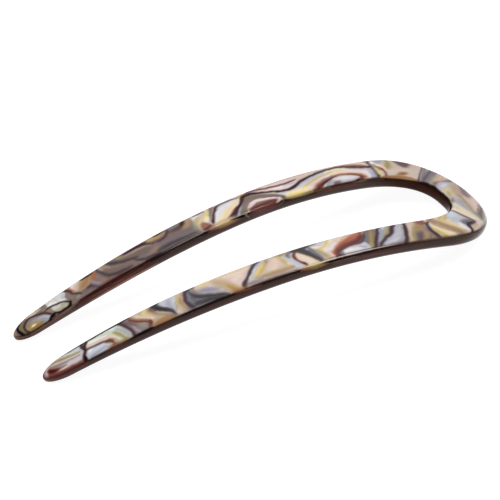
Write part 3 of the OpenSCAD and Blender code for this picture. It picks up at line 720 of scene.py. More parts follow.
# The slanting silver blocks and their streaks
cell("steel", (29.4, -10.6), (36, -10.8), (39, -15), (41.4, -19.6), (33, -19.6), (31, -15))
ribbon("silver", (31, -12, 0.8), (33.2, -15.6, 1.4), (36.4, -17.6, 0.8), soft=1, strength=0.75)
ribbon("pearl", (29.8, -11.4, 0.3), (31, -13.4, 0.4), (32.4, -16, 0.3), strength=0.5)
ribbon("pearl", (33, -16.8, 0.4), (35, -17.6, 0.6), (37.6, -17.9, 0.4), strength=0.6)
ribbon("taupe", (32.8, -18.8, 0.5), (36, -18.9, 0.6), (39.4, -18.9, 0.5), soft=0.4, strength=0.85)
ribbon("olive", (32.6, -11.4, 0.4), (34, -12.9, 0.7), (35.6, -14.5, 0.7), (37.2, -15.6, 0.4), soft=0.4)
ribbon("sand", (33, -11.2, 0.4), (34.4, -12.7, 0.4), (36, -14.2, 0.3), soft=0.4, strength=0.7)
ribbon("steel", (34.4, -11.2, 0.6), (35.8, -13, 0.7), (37.4, -15.2, 0.6), (38.8, -17, 0.5))
ribbon("pearl", (34.2, -11, 0.5), (35, -12, 0.4), soft=0.4, strength=0.8)
vein((28.5, -10.9, 0.5), (28.9, -12, 0.6), (29.6, -13.8, 0.75), (30.6, -15.8, 0.8), (31.6, -17.6, 0.75),
     (32.8, -19.4, 0.7), colour="plum", soft=0.4)
vein((31.1, -11.2, 0.4), (32.2, -12, 0.7), (33.2, -13.4, 0.8), (34.4, -14.8, 0.8), (36.4, -15.9, 0.6),
     (38, -17, 0.6), (39.4, -18.2, 0.6), colour="plum", soft=0.5)
cell("taupe", (37, -10.8), (39.8, -11), (41.6, -14), (43, -16), (44, -19.8), (40.4, -19.8), (38.4, -15.4))
ribbon("caramel", (37.2, -11.8, 0.3), (38.4, -13.6, 0.4), (39.8, -16, 0.4), (40.8, -18, 0.3), soft=0.4,
       strength=0.6)
ribbon("olive", (38, -11.6, 0.4), (39, -13.2, 0.7), (40.2, -15.4, 0.7), (41.4, -17.8, 0.6), strength=0.85)
ribbon("sand", (41, -16.4, 0.3), (41.8, -18.2, 0.4), soft=0.4, strength=0.7)
ribbon("slate", (39.6, -12, 0.4), (40.8, -14, 0.7), (42, -16, 0.7), (43, -18.4, 0.6), strength=0.8)
vein((35.3, -11, 0.4), (36.6, -12, 0.5), (37.6, -13.8, 0.5), (38.8, -15.6, 0.5), (40, -17.4, 0.5),
     (40.9, -19.2, 0.5), colour="plum", soft=0.4)

# The rust band and the silver oval under it
cell("silver", (42, -15.4), (46, -15.2), (49, -15.8), (50, -17.4), (49.4, -19.4), (42.8, -19.8))
ribbon("pearl", (44, -17.4, 0.6), (46.4, -17, 1.4), (48.4, -16.7, 0.9), soft=0.7)
ribbon("white", (46.4, -16.8, 0.5), (48, -16.6, 0.6), soft=0.6, strength=0.7)
ribbon("steel", (42.8, -17.4, 0.5), (44, -16.4, 0.4), strength=0.7)
ribbon("slate", (42.6, -18.8, 0.4), (44.4, -18.6, 0.5), soft=0.4, strength=0.7)
cell("brick", (40.6, -10.6), (43.8, -11), (46.6, -12), (49, -13.5), (51.2, -14.8), (51.2, -18.4),
     (49.8, -18.4), (49, -16.4), (46.6, -15.5), (43, -15.4), (41.2, -13.4), soft=0.5)
ribbon("peach", (42.8, -11, 0.3), (45.6, -11.9, 0.5), (48.2, -13.5, 0.5), (50.6, -15, 0.3), strength=0.7)
ribbon("rust", (42.6, -12, 0.5), (45.6, -12.9, 0.9), (48.6, -14.5, 0.8), (50.6, -16.2, 0.5), soft=0.7,
       strength=0.85)
ribbon("chestnut", (42, -12.9, 0.5), (44.4, -13.9, 0.9), (47, -14.5, 0.8), (49.6, -15.6, 0.6),
       (50.6, -17.8, 0.6), soft=0.8, strength=0.7)
ribbon("wine", (41.4, -12.9, 0.6), (43.4, -14.4, 1), (46.4, -14.9, 0.9), (49, -15.8, 0.9), (50.3, -17.8, 1),
       soft=0.7, strength=0.9)
ribbon("maroon", (41.2, -12.6, 0.3), (43, -14.2, 0.5), (46, -15.1, 0.4), (49, -16, 0.3), strength=0.5)
ribbon("blush", (42.4, -10.9, 0.4), (45, -11.6, 0.5), (47.2, -12.4, 0.3), strength=0.5)
ribbon("maroon", (40.8, -10.9, 0.3), (41.6, -12.2, 0.4), (42.8, -13.2, 0.3), strength=0.6)
ribbon("graphite", (40.4, -12, 0.3), (41.2, -13.6, 0.5), (42.6, -15, 0.5), (44.4, -15.4, 0.3), soft=0.4,
       strength=0.8)
ribbon("slate", (49, -17, 0.5), (49.4, -18.6, 0.7))
ribbon("vein", (48.8, -18.6, 0.4), (49.6, -17.4, 0.2), soft=0.4, strength=0.6)

# The cream and silver wedges
cell("cream", (45.4, -10.4), (50, -10.2), (54, -10), (55.4, -11), (54.6, -14), (54, -18), (51.4, -18.2),
     (51.2, -15.2), (49.2, -13.6), (47, -12))
ribbon("blush", (47.2, -11.2, 0.8), (48.6, -12.4, 1.1), (50.2, -13.8, 1), (51.8, -15.4, 0.8),
       (52, -17.4, 0.7), soft=0.7)
ribbon("pearl", (48.4, -12.6, 0.5), (50.2, -13.9, 0.8), (52.4, -14.4, 0.6), strength=0.8)
ribbon("mustard", (49.6, -10.4, 0.4), (50.3, -11.4, 0.6), (51.4, -12.6, 0.4), (52.8, -13.2, 0.3), soft=0.7,
       strength=0.75)
ribbon("straw", (51.2, -12.6, 0.4), (52.4, -12.8, 0.5), (53.2, -13.2, 0.3), soft=0.6, strength=0.6)
ribbon("silver", (51.2, -10.9, 0.8), (53, -11.4, 0.9), (54.8, -11.2, 0.6))
ribbon("white", (53, -12, 0.4), (54.4, -11.6, 0.4), soft=0.4, strength=0.7)
ribbon("sand", (53.6, -13, 0.4), (53.1, -14.6, 0.8), (52.7, -16.4, 0.8), (52.4, -17.8, 0.6), soft=0.7)
ribbon("olive", (53.7, -13.4, 0.2), (53.4, -15, 0.4), (53, -17, 0.4), strength=0.8)
ribbon("slate", (55, -11.3, 0.7), (54.7, -13, 1), (54.3, -15.4, 0.7), (53.9, -17.6, 0.4), strength=0.9)
cell("peach", (58.4, -11.2), (59.2, -13), (58.9, -15.6), (58.4, -18.4), (55, -18.4), (56, -15.4), (57.4, -13),
     soft=0.35)
ribbon("pearl", (57.9, -13, 0.6), (57.5, -15.2, 1), (57.1, -17.4, 0.9), soft=1, strength=0.5)
ribbon("straw", (57.2, -13.8, 0.3), (56.4, -15.2, 0.4), soft=0.4, strength=0.7)
cell("dusk", (54.6, -10.2), (59.6, -10), (58.3, -11.6), (57.2, -13.2), (56, -15.4), (55, -18), (54.2, -18),
     (54.6, -15.4), (55.2, -13), (55.8, -11.4), soft=0.6)
ribbon("graphite", (57.4, -10.8, 0.6), (56.4, -12.6, 0.8), (55.5, -14.8, 0.5), (54.7, -17, 0.3), soft=0.6,
       strength=0.8)
ribbon("graphite", (52.8, -10.6, 0.2), (56, -10.6, 0.6), (59.4, -10.6, 0.5), strength=0.9)
vein((58.3, -10.8, 0.4), (59, -11.8, 0.5), (59.6, -13.2, 0.6), (59.6, -14.4, 0.6), (58.9, -16, 0.6),
     (58.5, -17.2, 0.6), (58.8, -18.4, 0.5), colour="wine", soft=0.45)
ribbon("maroon", (58.7, -16, 0.4), (58.6, -17.4, 0.5), soft=0.3, strength=0.8)

# The large warm cell
cell("beige", (60, -9.8), (68, -9.2), (70, -10.6), (73, -13.6), (75, -17), (59.4, -18.6), (59.4, -16),
     (60.4, -13))
ribbon("silver", (61.4, -11.8, 0.5), (60.8, -13.6, 0.9), (60, -15.8, 0.9), (59.8, -17.2, 0.7))
ribbon("ice", (61.2, -14.4, 0.3), (60.6, -16.2, 0.5), soft=0.4, strength=0.8)
ribbon("slate", (60, -10.6, 0.7), (60.6, -11.4, 0.8), (60.6, -12.4, 0.4))
ribbon("olive", (61.2, -10.2, 0.7), (62.4, -10.2, 0.8), (63.4, -10, 0.3), strength=0.9)
ribbon("mustard", (63, -10.8, 0.4), (62.6, -12.6, 0.6), (62.3, -14.2, 0.6), (61.9, -15.6, 0.4), soft=0.6,
       strength=0.85)
ribbon("cream", (61.8, -14, 0.5), (61.6, -15.6, 0.6), strength=0.7)
ribbon("peach", (63.6, -11, 0.8), (64.8, -12.6, 1.6), (66, -14, 1.2), soft=0.9)
ribbon("blush", (64.4, -12.4, 0.6), (66.4, -13, 1), (66.4, -14.2, 0.6), soft=0.9, strength=0.8)
ribbon("tan", (65.6, -10, 0.4), (66.3, -11, 0.7), (67.2, -11.8, 0.4), strength=0.9)
ribbon("gold", (67, -11.2, 0.5), (68.4, -12.3, 0.9), (69.8, -13.4, 0.6), soft=0.7, strength=0.9)
ribbon("mustard", (66.6, -11.2, 0.3), (68, -12.7, 0.7), (70, -14.3, 0.6), soft=0.6, strength=0.75)
ribbon("lavender", (67.4, -9.8, 0.7), (69, -11, 0.6), (70.6, -12.2, 0.4), soft=0.4)
ribbon("ice", (69, -11.2, 0.3), (71, -12.8, 0.4), (72, -14, 0.4), soft=0.4, strength=0.9)
ribbon("slate", (69.6, -15.8, 0.3), (71.6, -15.7, 0.6), (73.6, -15.6, 0.7), soft=0.6, strength=0.8)
ribbon("sand", (61.8, -15.5, 0.7), (65, -15.4, 0.9), (68.6, -15.1, 0.8), soft=0.7)
ribbon("tan", (61.6, -16, 0.6), (65, -15.8, 0.8), (68.6, -15.3, 0.7), (70.6, -14.8, 0.3), soft=0.6,
       strength=0.95)
ribbon("mustard", (62, -15.2, 0.3), (64.6, -15.1, 0.4), (68, -14.8, 0.3), soft=0.7, strength=0.5)
ribbon("mauve", (61.4, -17.5, 0.6), (64, -17.3, 0.7), (68, -16.8, 0.7), (72, -16.5, 0.7), soft=0.7,
       strength=0.8)
ribbon("slate", (60.2, -17.6, 0.3), (62, -17.5, 0.4), soft=0.4, strength=0.6)
vein((67.8, -9.6, 0.5), (68.8, -10, 0.6), (70.2, -11.2, 0.6), (71.6, -12.6, 0.6), (72.8, -13.8, 0.6),
     (74, -15, 0.8), (74.4, -16, 0.7), colour="plum", soft=0.5)
ribbon("taupe", (68, -9.5, 0.3), (70, -9.6, 0.4), (71.6, -9.4, 0.3), soft=0.4, strength=0.8)

# The peach field and the dark hook after it
cell("blush", (70.4, -9), (84, -7.8), (87, -8), (86, -12), (83, -16), (75.2, -17), (74.8, -15), (73, -12.8),
     (71, -10.6))
ribbon("straw", (71.6, -9.8, 0.6), (75.4, -9.6, 0.9), (79.4, -9.3, 1), (83.6, -8.9, 0.7), soft=0.8,
       strength=0.55)
ribbon("cream", (71.4, -10.4, 0.5), (73.6, -10.6, 0.7), (77, -10, 0.5), strength=0.7)
ribbon("peach", (72.8, -11.2, 0.8), (74.8, -12, 1.6), (75.6, -13.2, 1), soft=0.9, strength=0.6)
ribbon("pearl", (73.4, -11.6, 0.4), (75, -12, 0.8), soft=0.8, strength=0.6)
ribbon("sand", (79.4, -9.8, 1), (78.3, -11.4, 1.6), (77.4, -13, 1.8), (76.6, -15, 1.6), soft=1, strength=0.9)
ribbon("mustard", (79.2, -10.4, 0.4), (78, -12, 0.9), (77.2, -13.6, 1.2), (76.4, -15.2, 1.4),
       (76, -16.4, 0.9), soft=0.9, strength=0.7)
ribbon("caramel", (77.4, -13.4, 0.5), (76.8, -15, 1), (76.4, -16.4, 0.7), soft=0.9, strength=0.65)
ribbon("straw", (80.6, -9.4, 0.4), (82.6, -9.6, 0.7), (84.2, -9.6, 0.4), strength=0.8)
ribbon("sand", (79.4, -11, 0.4), (78.8, -13, 0.5), (78, -15, 0.4), strength=0.8)
ribbon("steel", (80, -12.6, 1), (81.8, -11.6, 1.4), (84, -10.6, 1.1), soft=0.8)
ribbon("mauve", (80.6, -12, 0.8), (82.4, -11.2, 1.1), (84, -10.4, 0.7), soft=0.9, strength=0.45)
ribbon("slate", (78.8, -14.6, 0.7), (80.6, -13.6, 0.8), (82.8, -12.6, 0.7), soft=0.8, strength=0.55)
ribbon("taupe", (84.6, -9, 0.6), (84.8, -10.6, 0.8), (83.8, -12.2, 0.6), soft=0.6, strength=0.8)
cell("slate", (86, -7.8), (87.2, -9), (88, -12), (88, -16), (79, -16.4), (82.6, -14), (85, -12), (85.8, -10),
     soft=0.6)
ribbon("dusk", (86.2, -11.4, 0.5), (86, -13.4, 0.8), (84, -14.8, 0.6), soft=0.7, strength=0.7)
ribbon("graphite", (85.6, -8.6, 0.4), (85.6, -10.4, 0.6), (84.8, -12, 0.9), (82.8, -13.5, 1),
       (80.4, -14.8, 0.8), (78.6, -15.8, 0.5), soft=0.6)
ribbon("graphite", (80.2, -15.6, 0.7), (83.4, -14.8, 1.2), (86, -14.3, 0.8), soft=0.7, strength=0.9)
ribbon("graphite", (84.2, -8.6, 0.3), (85.8, -8.5, 0.5), (87, -8.4, 0.3), soft=0.4)
ribbon("plum", (86.4, -8.6, 0.5), (87.3, -10, 0.6), (87.9, -12, 0.7), (87.6, -13.6, 0.7), (87, -15.2, 0.6))
ribbon("wine", (86.9, -9, 0.1), (87.8, -10.8, 0.25), (88.2, -12.4, 0.25), (87.9, -14, 0.2), soft=0.4,
       strength=0.8)
ribbon("sage", (86.2, -9.8, 0.2), (86.6, -11.6, 0.4), (86.4, -13.2, 0.3), soft=0.4, strength=0.5)

# The silver cell, the warm wedge and the hooked line
cell("silver", (88.6, -8), (93.4, -7.6), (94, -9), (92.6, -11.6), (91.2, -13.7), (90.6, -13), (89.6, -10.4))
ribbon("steel", (91, -8.6, 0.6), (91.6, -10, 0.9), (91.4, -11.8, 0.6), soft=0.7, strength=0.7)
ribbon("pearl", (89.4, -8.6, 0.4), (90, -9.8, 0.5), strength=0.6)
ribbon("tan", (87.4, -8.4, 0.4), (88.6, -10, 0.6), (89, -12, 0.7), (88.8, -14.4, 0.6), soft=0.4)
ribbon("blush", (87.4, -8.2, 0.4), (88.4, -9.4, 0.4), soft=0.4, strength=0.6)
ribbon("olive", (88, -7.9, 0.4), (89.2, -9.8, 0.6), (90, -11.6, 0.6), (90.7, -13, 0.4), soft=0.4,
       strength=0.6)
ribbon("straw", (88, -8, 0.4), (89, -9.6, 0.5), (89.8, -11.4, 0.4), soft=0.4, strength=0.6)
ribbon("sand", (89.4, -12.4, 0.5), (89.6, -14.6, 0.6), soft=0.4, strength=0.8)
ribbon("blush", (91.2, -13.6, 0.2), (90.4, -14.4, 0.3), (89.8, -15.2, 0.3), soft=0.3, strength=0.8)
cell("sand", (95.4, -7.2), (97, -7), (101, -7), (99.6, -9.8), (97.6, -11.6), (97, -13.2), (98, -14.4),
     (90.8, -15.2), (91.8, -13.6), (94, -11.6), (95.4, -9.4))
ribbon("straw", (97, -8, 0.7), (97.6, -9, 0.8), (96.4, -10.6, 0.5), strength=0.9)
ribbon("jade", (98.4, -7.4, 0.3), (99.8, -7.6, 0.4), soft=0.4, strength=0.6)
ribbon("peach", (99.4, -8.2, 0.6), (98, -10, 0.7), (96.2, -11.6, 0.6), strength=0.9)
ribbon("tan", (96.2, -8.6, 0.3), (95.4, -10.4, 0.5), (93.6, -12.6, 0.5), (92.4, -14, 0.5), soft=0.4)
ribbon("caramel", (92.4, -14.2, 0.5), (94.4, -13.6, 0.8), (96.4, -13.8, 0.6), soft=0.6, strength=0.8)
ribbon("mauve", (93.4, -12.8, 0.3), (91.8, -14.2, 0.4), soft=0.4, strength=0.7)
ribbon("graphite", (93.8, -7.7, 0.7), (94.5, -8.4, 1.1), (93.8, -9.9, 1.1), (92.7, -11.3, 1),
       (91.8, -12.6, 0.8), (91.4, -14, 0.4), soft=0.4)
ribbon("black", (94.4, -8.6, 0.3), (93.9, -9.9, 0.5), (92.9, -11.3, 0.4), strength=0.4)
vein((93.2, -8, 0.3), (95, -8, 0.5), (95.6, -8.8, 0.4), (95, -9.8, 0.3), soft=0.4, strength=0.7)
ribbon("cocoa", (96.2, -7.8, 0.2), (96, -9, 0.3), (95, -10.6, 0.2), soft=0.4, strength=0.7)

# The cells towards the tip
cell("mauve", (101, -7), (104, -7), (103, -10), (102.2, -12.6), (102, -14.4), (98, -14.4), (98, -13),
     (99.8, -10.6))
ribbon("dusk", (103, -7.4, 0.6), (102.4, -9, 0.4), (101.6, -10.2, 0.3), soft=0.6, strength=0.6)
ribbon("sage", (100.4, -10.4, 0.4), (99.4, -12, 0.7), (99, -13.2, 0.6), strength=0.8)
ribbon("moss", (100.2, -10, 0.4), (100.4, -11.4, 0.4), strength=0.7)
ribbon("silver", (101.3, -10.8, 0.2), (101, -12.6, 0.4), (100.6, -13.6, 0.3), soft=0.4, strength=0.6)
ribbon("dusk", (102.2, -8.4, 0.4), (101.2, -9.8, 0.5), (100.6, -11, 0.3), soft=0.4, strength=0.7)
ribbon("cocoa", (101.2, -8, 0.5), (99.8, -9.7, 0.7), (98.2, -11.1, 0.7), (97.2, -12.2, 0.5))
ribbon("maroon", (97.2, -11.8, 0.3), (97.4, -13, 0.5), (98.2, -13.9, 0.5), soft=0.4)
vein((101.2, -8.4, 0.4), (100.2, -9.6, 0.4), (98.9, -11, 0.4), (97.9, -12.2, 0.5), (97.7, -13.4, 0.5),
     colour="chestnut", soft=0.5, strength=1)
cell("jade", (104.6, -7.4), (108, -7.2), (111.6, -7.3), (113, -8.6), (110, -9.4), (107.4, -10.4),
     (106.6, -11.6), (106, -13.2), (103, -13), (103.4, -10.4))
ribbon("ice", (104.8, -8, 0.5), (105.6, -7.9, 0.7), (106.6, -8, 0.4), soft=0.4)
ribbon("white", (105.2, -7.9, 0.3), (106, -7.9, 0.3), soft=0.3)
ribbon("white", (107.8, -8.9, 0.3), (109.2, -8.5, 0.5), (111.6, -8, 0.6), soft=0.4, strength=0.9)
ribbon("steel", (103.3, -12.6, 0.7), (103.8, -10.4, 0.7), (104.6, -8.8, 0.4), soft=0.6, strength=0.85)
ribbon("olive", (104.5, -12.9, 0.6), (104.9, -11, 0.7), (105.6, -9.4, 0.6), strength=0.9)
ribbon("straw", (105.6, -8.8, 0.4), (106.8, -8.9, 0.3), soft=0.4, strength=0.5)
ribbon("peach", (106.3, -12.2, 0.4), (106, -11, 0.5), (107, -9.9, 0.45), (109.6, -9.4, 0.4),
       (112.6, -9, 0.35), soft=0.4)
ribbon("blush", (107.2, -9.5, 0.3), (109.6, -9.2, 0.4), (113.2, -8.8, 0.4), soft=0.3, strength=0.9)
ribbon("tan", (106.2, -12.4, 0.3), (106.6, -11.2, 0.3), (107.4, -10.3, 0.2), soft=0.4, strength=0.9)
cell("silver", (108, -11.6), (109.4, -10.6), (112, -10), (113.4, -10.2), (114.2, -12), (113.6, -12.9),
     (109.4, -12.9), soft=0.35)
ribbon("ice", (109, -11.6, 0.5), (110.8, -10.9, 0.9), (112.8, -11, 0.8), soft=0.6)
ribbon("white", (112.2, -10.5, 0.3), (112.8, -10.7, 0.4), soft=0.3)
ribbon("steel", (109.2, -12, 0.4), (111.6, -12.2, 0.5), (113.2, -12.4, 0.4), soft=0.4, strength=0.7)
ribbon("wine", (107, -12.6, 0.3), (107.2, -11.4, 0.5), (108, -10.7, 0.5), (110, -10.1, 0.45),
       (113.2, -9.6, 0.4), soft=0.4)
ribbon("maroon", (107.4, -12.2, 0.1), (107.6, -11.3, 0.25), (108.6, -10.6, 0.2), soft=0.4, strength=0.8)
ribbon("chestnut", (107.4, -11.8, 0.6), (108.6, -11, 0.4), soft=0.4, strength=0.8)
ribbon("umber", (106.2, -13.2, 0.3), (107.3, -12.9, 0.4), (108.4, -13, 0.2), soft=0.4, strength=0.8)
cell("silver", (114.4, -7.2), (120, -6.6), (123, -7.4), (124.8, -9), (123.6, -11.4), (119, -12.2),
     (115.4, -12.6), (115, -11), (114, -9), soft=0.35)
ribbon("jade", (114.6, -8, 0.4), (116.4, -7.8, 0.5), (118, -7.2, 0.3), soft=0.4)
ribbon("olive", (114.8, -8.9, 0.4), (117.2, -8.4, 0.6), (119.6, -7.7, 0.6), (121.6, -7.1, 0.4), soft=0.4,
       strength=0.9)
ribbon("caramel", (119, -7.7, 0.4), (121, -7.3, 0.5), (122.4, -7.6, 0.3), strength=0.6)
ribbon("blush", (115, -9.5, 0.3), (118, -9, 0.4), (121, -8.2, 0.4), (122.6, -7.9, 0.3), soft=0.3,
       strength=0.9)
ribbon("taupe", (115.2, -9.9, 0.2), (118, -9.4, 0.3), (120.4, -8.8, 0.4), (122.4, -8, 0.3), soft=0.4,
       strength=0.9)
ribbon("blush", (116, -10.9, 0.4), (118, -10.7, 0.6), (119.8, -10.9, 0.4), strength=0.7)
ribbon("beige", (115.6, -11.6, 0.3), (118, -11.4, 0.4), (120.6, -11, 0.3), soft=0.4, strength=0.6)
ribbon("mauve", (118.6, -9.6, 0.4), (120.6, -9.2, 0.6), (122.4, -8.6, 0.5), strength=0.6)
cell("cocoa", (119, -10.4), (120.6, -9.4), (122.2, -8.2), (123.7, -8.5), (123.9, -10.1), (122, -10.9),
     soft=0.9)
cell("garnet", (120.8, -10.1), (121.7, -9.3), (122.8, -8.5), (123.5, -9), (123.3, -10.1), (122.2, -10.5),
     soft=0.8)
ribbon("black", (121.6, -9.9, 0.2), (122.5, -9.4, 0.6), soft=0.7, strength=0.65)
# A white streak under the garnet cell and a thin pale line on the round of the tip: painted highlights
ribbon("white", (119.2, -10.8, 0.15), (120, -10.85, 0.25), (120.8, -10.7, 0.1), soft=0.3)
ribbon("blush", (123.1, -7.8, 0.1), (123.8, -8.8, 0.15), (123.7, -9.8, 0.1), soft=0.25)
ribbon("chestnut", (115.2, -12, 0.4), (118, -11.8, 0.6), (121, -11.3, 0.7), (123.4, -10.4, 0.6), strength=0.9)
vein((104, -7.2, 0.6), (103, -8.8, 0.6), (102.5, -10.6, 0.6), (102.1, -12.2, 0.6), (102.3, -13.6, 0.7),
     colour="plum", soft=0.5)
vein((101, -7.5, 0.3), (104, -7.4, 0.35), (108, -7.3, 0.3), (112, -7.1, 0.3), (116, -6.9, 0.3),
     (119, -6.6, 0.2), colour="black")
ribbon("chestnut", (122.6, -6.9, 0.4), (124.3, -8, 0.6), (124.9, -9.4, 0.7), (124.4, -10.9, 0.5), soft=0.4,
       strength=0.9)
vein((112.4, -7.4, 0.6), (113.2, -8.2, 0.7), (113.6, -9.6, 0.6), (114.3, -10.8, 0.6), (114.7, -12, 0.8),
     soft=0.4)
vein((114.4, -11.6, 0.4), (114.8, -12.4, 0.7), colour="black")
vein((113.4, -7, 0.4), (113.8, -8, 0.4), (113.8, -9, 0.3), soft=0.35)


def shine_through(sheet, colour, start, end):
    """The glow that one cell of an edge sends into the dark of the wall below it."""
    middle = (start + end) / 2
    sheet.ribbon("umber", (start, 0.6, 0.2), (middle, 0.7, 0.9), (end, 0.6, 0.2), strength=0.7)
    sheet.ribbon(colour, (start, 0.35, 0.1), (middle, 0.45, 0.35), (end, 0.35, 0.1), soft=0.4, strength=0.75)


def edge_glow(sheet):
    """The walls of a sheet: dark, with painted glow under the pale cells of the edge, dark bands of painted
    shade under the rounding, thin painted highlights and a few veins across.
    """
    cell, ribbon, vein = sheet.cell, sheet.ribbon, sheet.vein

    # The wall inside the gap on the +Y prong, the one that faces the near side
    sheet.onto_wall(upper=True, inner=True)
    # The umber bands on this wall are a lighter painted shade; the caramel under the edge is painted glow
    ribbon("umber", (12.4, 0.6, 0.3), (16, 0.7, 0.4), (20, 0.6, 0.4), strength=0.8)
    ribbon("caramel", (12.4, 0.3, 0.2), (14, 0.33, 0.4), (17, 0.33, 0.4), (20, 0.26, 0.3), (21.6, 0.2, 0.1),
           soft=0.3)
    ribbon("umber", (21, 0.7, 0.6), (25, 0.9, 1.3), (30, 0.9, 1.3), (37, 0.8, 0.8), soft=0.6, strength=0.95)
    ribbon("chestnut", (26, 1, 0.3), (30, 1.1, 0.9), (36, 1.1, 0.9), (40, 1.1, 0.4), soft=0.6, strength=0.55)
    ribbon("moss", (25.6, 0.5, 0.2), (27.6, 0.55, 0.4), (30, 0.6, 0.2), soft=0.4, strength=0.7)
    ribbon("black", (28, 0.42, 0.15), (33, 0.42, 0.25), (38, 0.42, 0.15), soft=0.25, strength=0.5)
    ribbon("caramel", (36.6, 0.6, 0.2), (39.6, 0.65, 0.4), (42, 0.6, 0.3), strength=0.7)
    ribbon("olive", (41.6, 0.55, 0.3), (44.4, 0.6, 0.6), (47.4, 0.5, 0.6), (49.2, 0.3, 0.3))
    ribbon("gold", (42.6, 0.2, 0.2), (45.6, 0.24, 0.5), (48.6, 0.14, 0.3), soft=0.35, strength=0.7)
    cell("maroon", (50.8, 0.6), (51.4, 1.2), (52.8, 1.7), (56, 1.9), (59.2, 1.6), (60, 0.9), (59.6, 0.4),
         (58.8, 0), (52.6, 0), soft=0.3, strength=0.9)
    cell("chestnut", (51.4, 0), (52.4, 0.8), (56, 1.2), (58.6, 0.8), (59.2, 0), strength=0.6)
    ribbon("moss", (49.5, 0.1, 0.4), (50.2, 0.8, 0.4), (51.6, 1.5, 0.3), soft=0.4, strength=0.7)
    ribbon("blush", (50.6, 0, 0.5), (51.2, 0.3, 0.5), (52.2, 0.5, 0.2), soft=0.3, strength=0.8)
    ribbon("moss", (60.4, 0, 0.8), (60.8, 0.6, 0.8), (60.2, 1.4, 0.4), soft=0.4, strength=0.8)
    ribbon("vein", (61.4, 1.3, 0.3), (63, 0.6, 0.7), (64.4, 0.3, 0.4), soft=0.3)
    ribbon("chestnut", (62.4, 0.9, 0.4), (65, 1, 0.9), (68, 0.9, 0.9), (71.4, 0.6, 0.3), soft=0.6,
           strength=0.9)
    ribbon("caramel", (62.6, 0.6, 0.3), (65, 0.7, 0.8), (68, 0.7, 0.8), (70.8, 0.45, 0.2))
    ribbon("sand", (63.6, 0.2, 0.2), (66.4, 0.22, 0.5), (69.4, 0.12, 0.3), soft=0.3)
    ribbon("gold", (64.4, 0.1, 0.1), (66.6, 0.14, 0.3), (69.2, 0.06, 0.2), soft=0.3, strength=0.6)
    ribbon("mustard", (64.6, 0.6, 0.2), (66.4, 0.65, 0.35), (68.8, 0.5, 0.2), soft=0.3, strength=0.8)
    ribbon("chestnut", (66, 1.1, 0.1), (68, 1, 0.2), (70, 0.8, 0.1), soft=0.3, strength=0.7)
    cell("black", (61.4, 0.36), (62.2, 0.76), (63.6, 0.62), (65.2, 0.34), (63.4, 0.24), soft=0.12)
    ribbon("umber", (73, 0.7, 0.3), (78, 0.6, 0.6), (84, 0.7, 0.3), strength=0.6)
    ribbon("garnet", (88, 0.8, 0.4), (93, 0.7, 1), (98, 0.8, 1.4), (103, 0.8, 1.2), (108, 0.8, 0.8))
    ribbon("rust", (86.4, 2.1, 0.2), (90, 2.1, 0.5), (96, 2, 0.5), (105, 1.9, 0.3), strength=0.9)
    ribbon("rust", (90, 1.1, 0.3), (96, 1.1, 0.6), (104, 1, 0.4), strength=0.35)
    # Black bands just under the rounding, along most of the prong: painted shade
    ribbon("black", (71, 0.34, 0.1), (75, 0.36, 0.2), (84, 0.34, 0.26), (89, 0.32, 0.2), soft=0.2,
           strength=0.9)
    ribbon("black", (87, 0.32, 0.2), (92, 0.32, 0.3), (100, 0.26, 0.25), (107.4, 0.25, 0.2), soft=0.2,
           strength=0.6)
    vein((89.6, 0.4, 0.1), (92, 0.8, 0.16), (95, 0.9, 0.16), (98.4, 0.5, 0.1), colour="black", soft=0.25)
    vein((97, 1.4, 0.1), (99.6, 0.8, 0.16), (102.6, 0.5, 0.16), (106, 0.4, 0.1), colour="black", soft=0.25)
    ribbon("fawn", (108, 0.4, 0.2), (110.6, 0.6, 0.5), (113.6, 0.6, 0.4), (115, 0.4, 0.2), strength=0.8)
    ribbon("cocoa", (109, 1, 0.2), (113, 0.9, 0.4), (118, 0.8, 0.5), (121.4, 0.8, 0.3), soft=0.6,
           strength=0.75)
    ribbon("caramel", (104, 1.9, 0.2), (110, 1.6, 0.3), (116, 1.4, 0.3), (121, 1.2, 0.2), soft=0.4,
           strength=0.5)
    ribbon("caramel", (122.6, 1, 0.2), (124, 0.7, 0.5), (125, 0.6, 0.5), strength=0.6)

    # The outer wall of the -Y prong, which faces the near side too
    sheet.onto_wall(upper=False, inner=False)
    # The umber band along the wall near the bow: a lighter painted shade
    ribbon("umber", (12, 0.6, 0.6), (20, 0.7, 1), (32, 0.8, 0.8), (42, 0.9, 0.3), soft=0.6, strength=0.85)
    ribbon("moss", (12, 0.5, 0.3), (17, 0.5, 0.4), (24, 0.4, 0.3), (32, 0.35, 0.2), strength=0.45)
    ribbon("taupe", (21, 0.25, 0.1), (24, 0.3, 0.5), (27, 0.3, 0.4), (30, 0.3, 0.1), strength=0.45)
    ribbon("silver", (42.4, 0.1, 0.2), (45, 0.18, 0.35), (48.6, 0.1, 0.2), soft=0.2, strength=0.9)
    ribbon("chestnut", (28, 1.4, 0.4), (36, 1.6, 0.6), (44, 1.5, 0.8), (52, 1.4, 0.5), soft=0.6, strength=0.6)
    ribbon("cream", (55.4, 0.08, 0.1), (56.8, 0.15, 0.3), (58.2, 0.1, 0.2), soft=0.3, strength=0.9)
    ribbon("sand", (51, 0.05, 0.1), (52.6, 0.1, 0.2), (54, 0.05, 0.1), soft=0.3, strength=0.9)
    ribbon("ochre", (53.6, 0.8, 0.2), (56.4, 0.85, 0.8), (59.6, 0.7, 0.3), strength=0.95)
    ribbon("mustard", (54, 0.35, 0.2), (56.4, 0.4, 0.5), (59, 0.35, 0.3), soft=0.4, strength=0.8)
    ribbon("umber", (61, 0.35, 0.2), (66, 0.4, 0.3), (71, 0.4, 0.2), soft=0.4, strength=0.7)
    ribbon("rust", (58.8, 0.4, 0.4), (60.2, 0.6, 0.4), soft=0.4, strength=0.8)
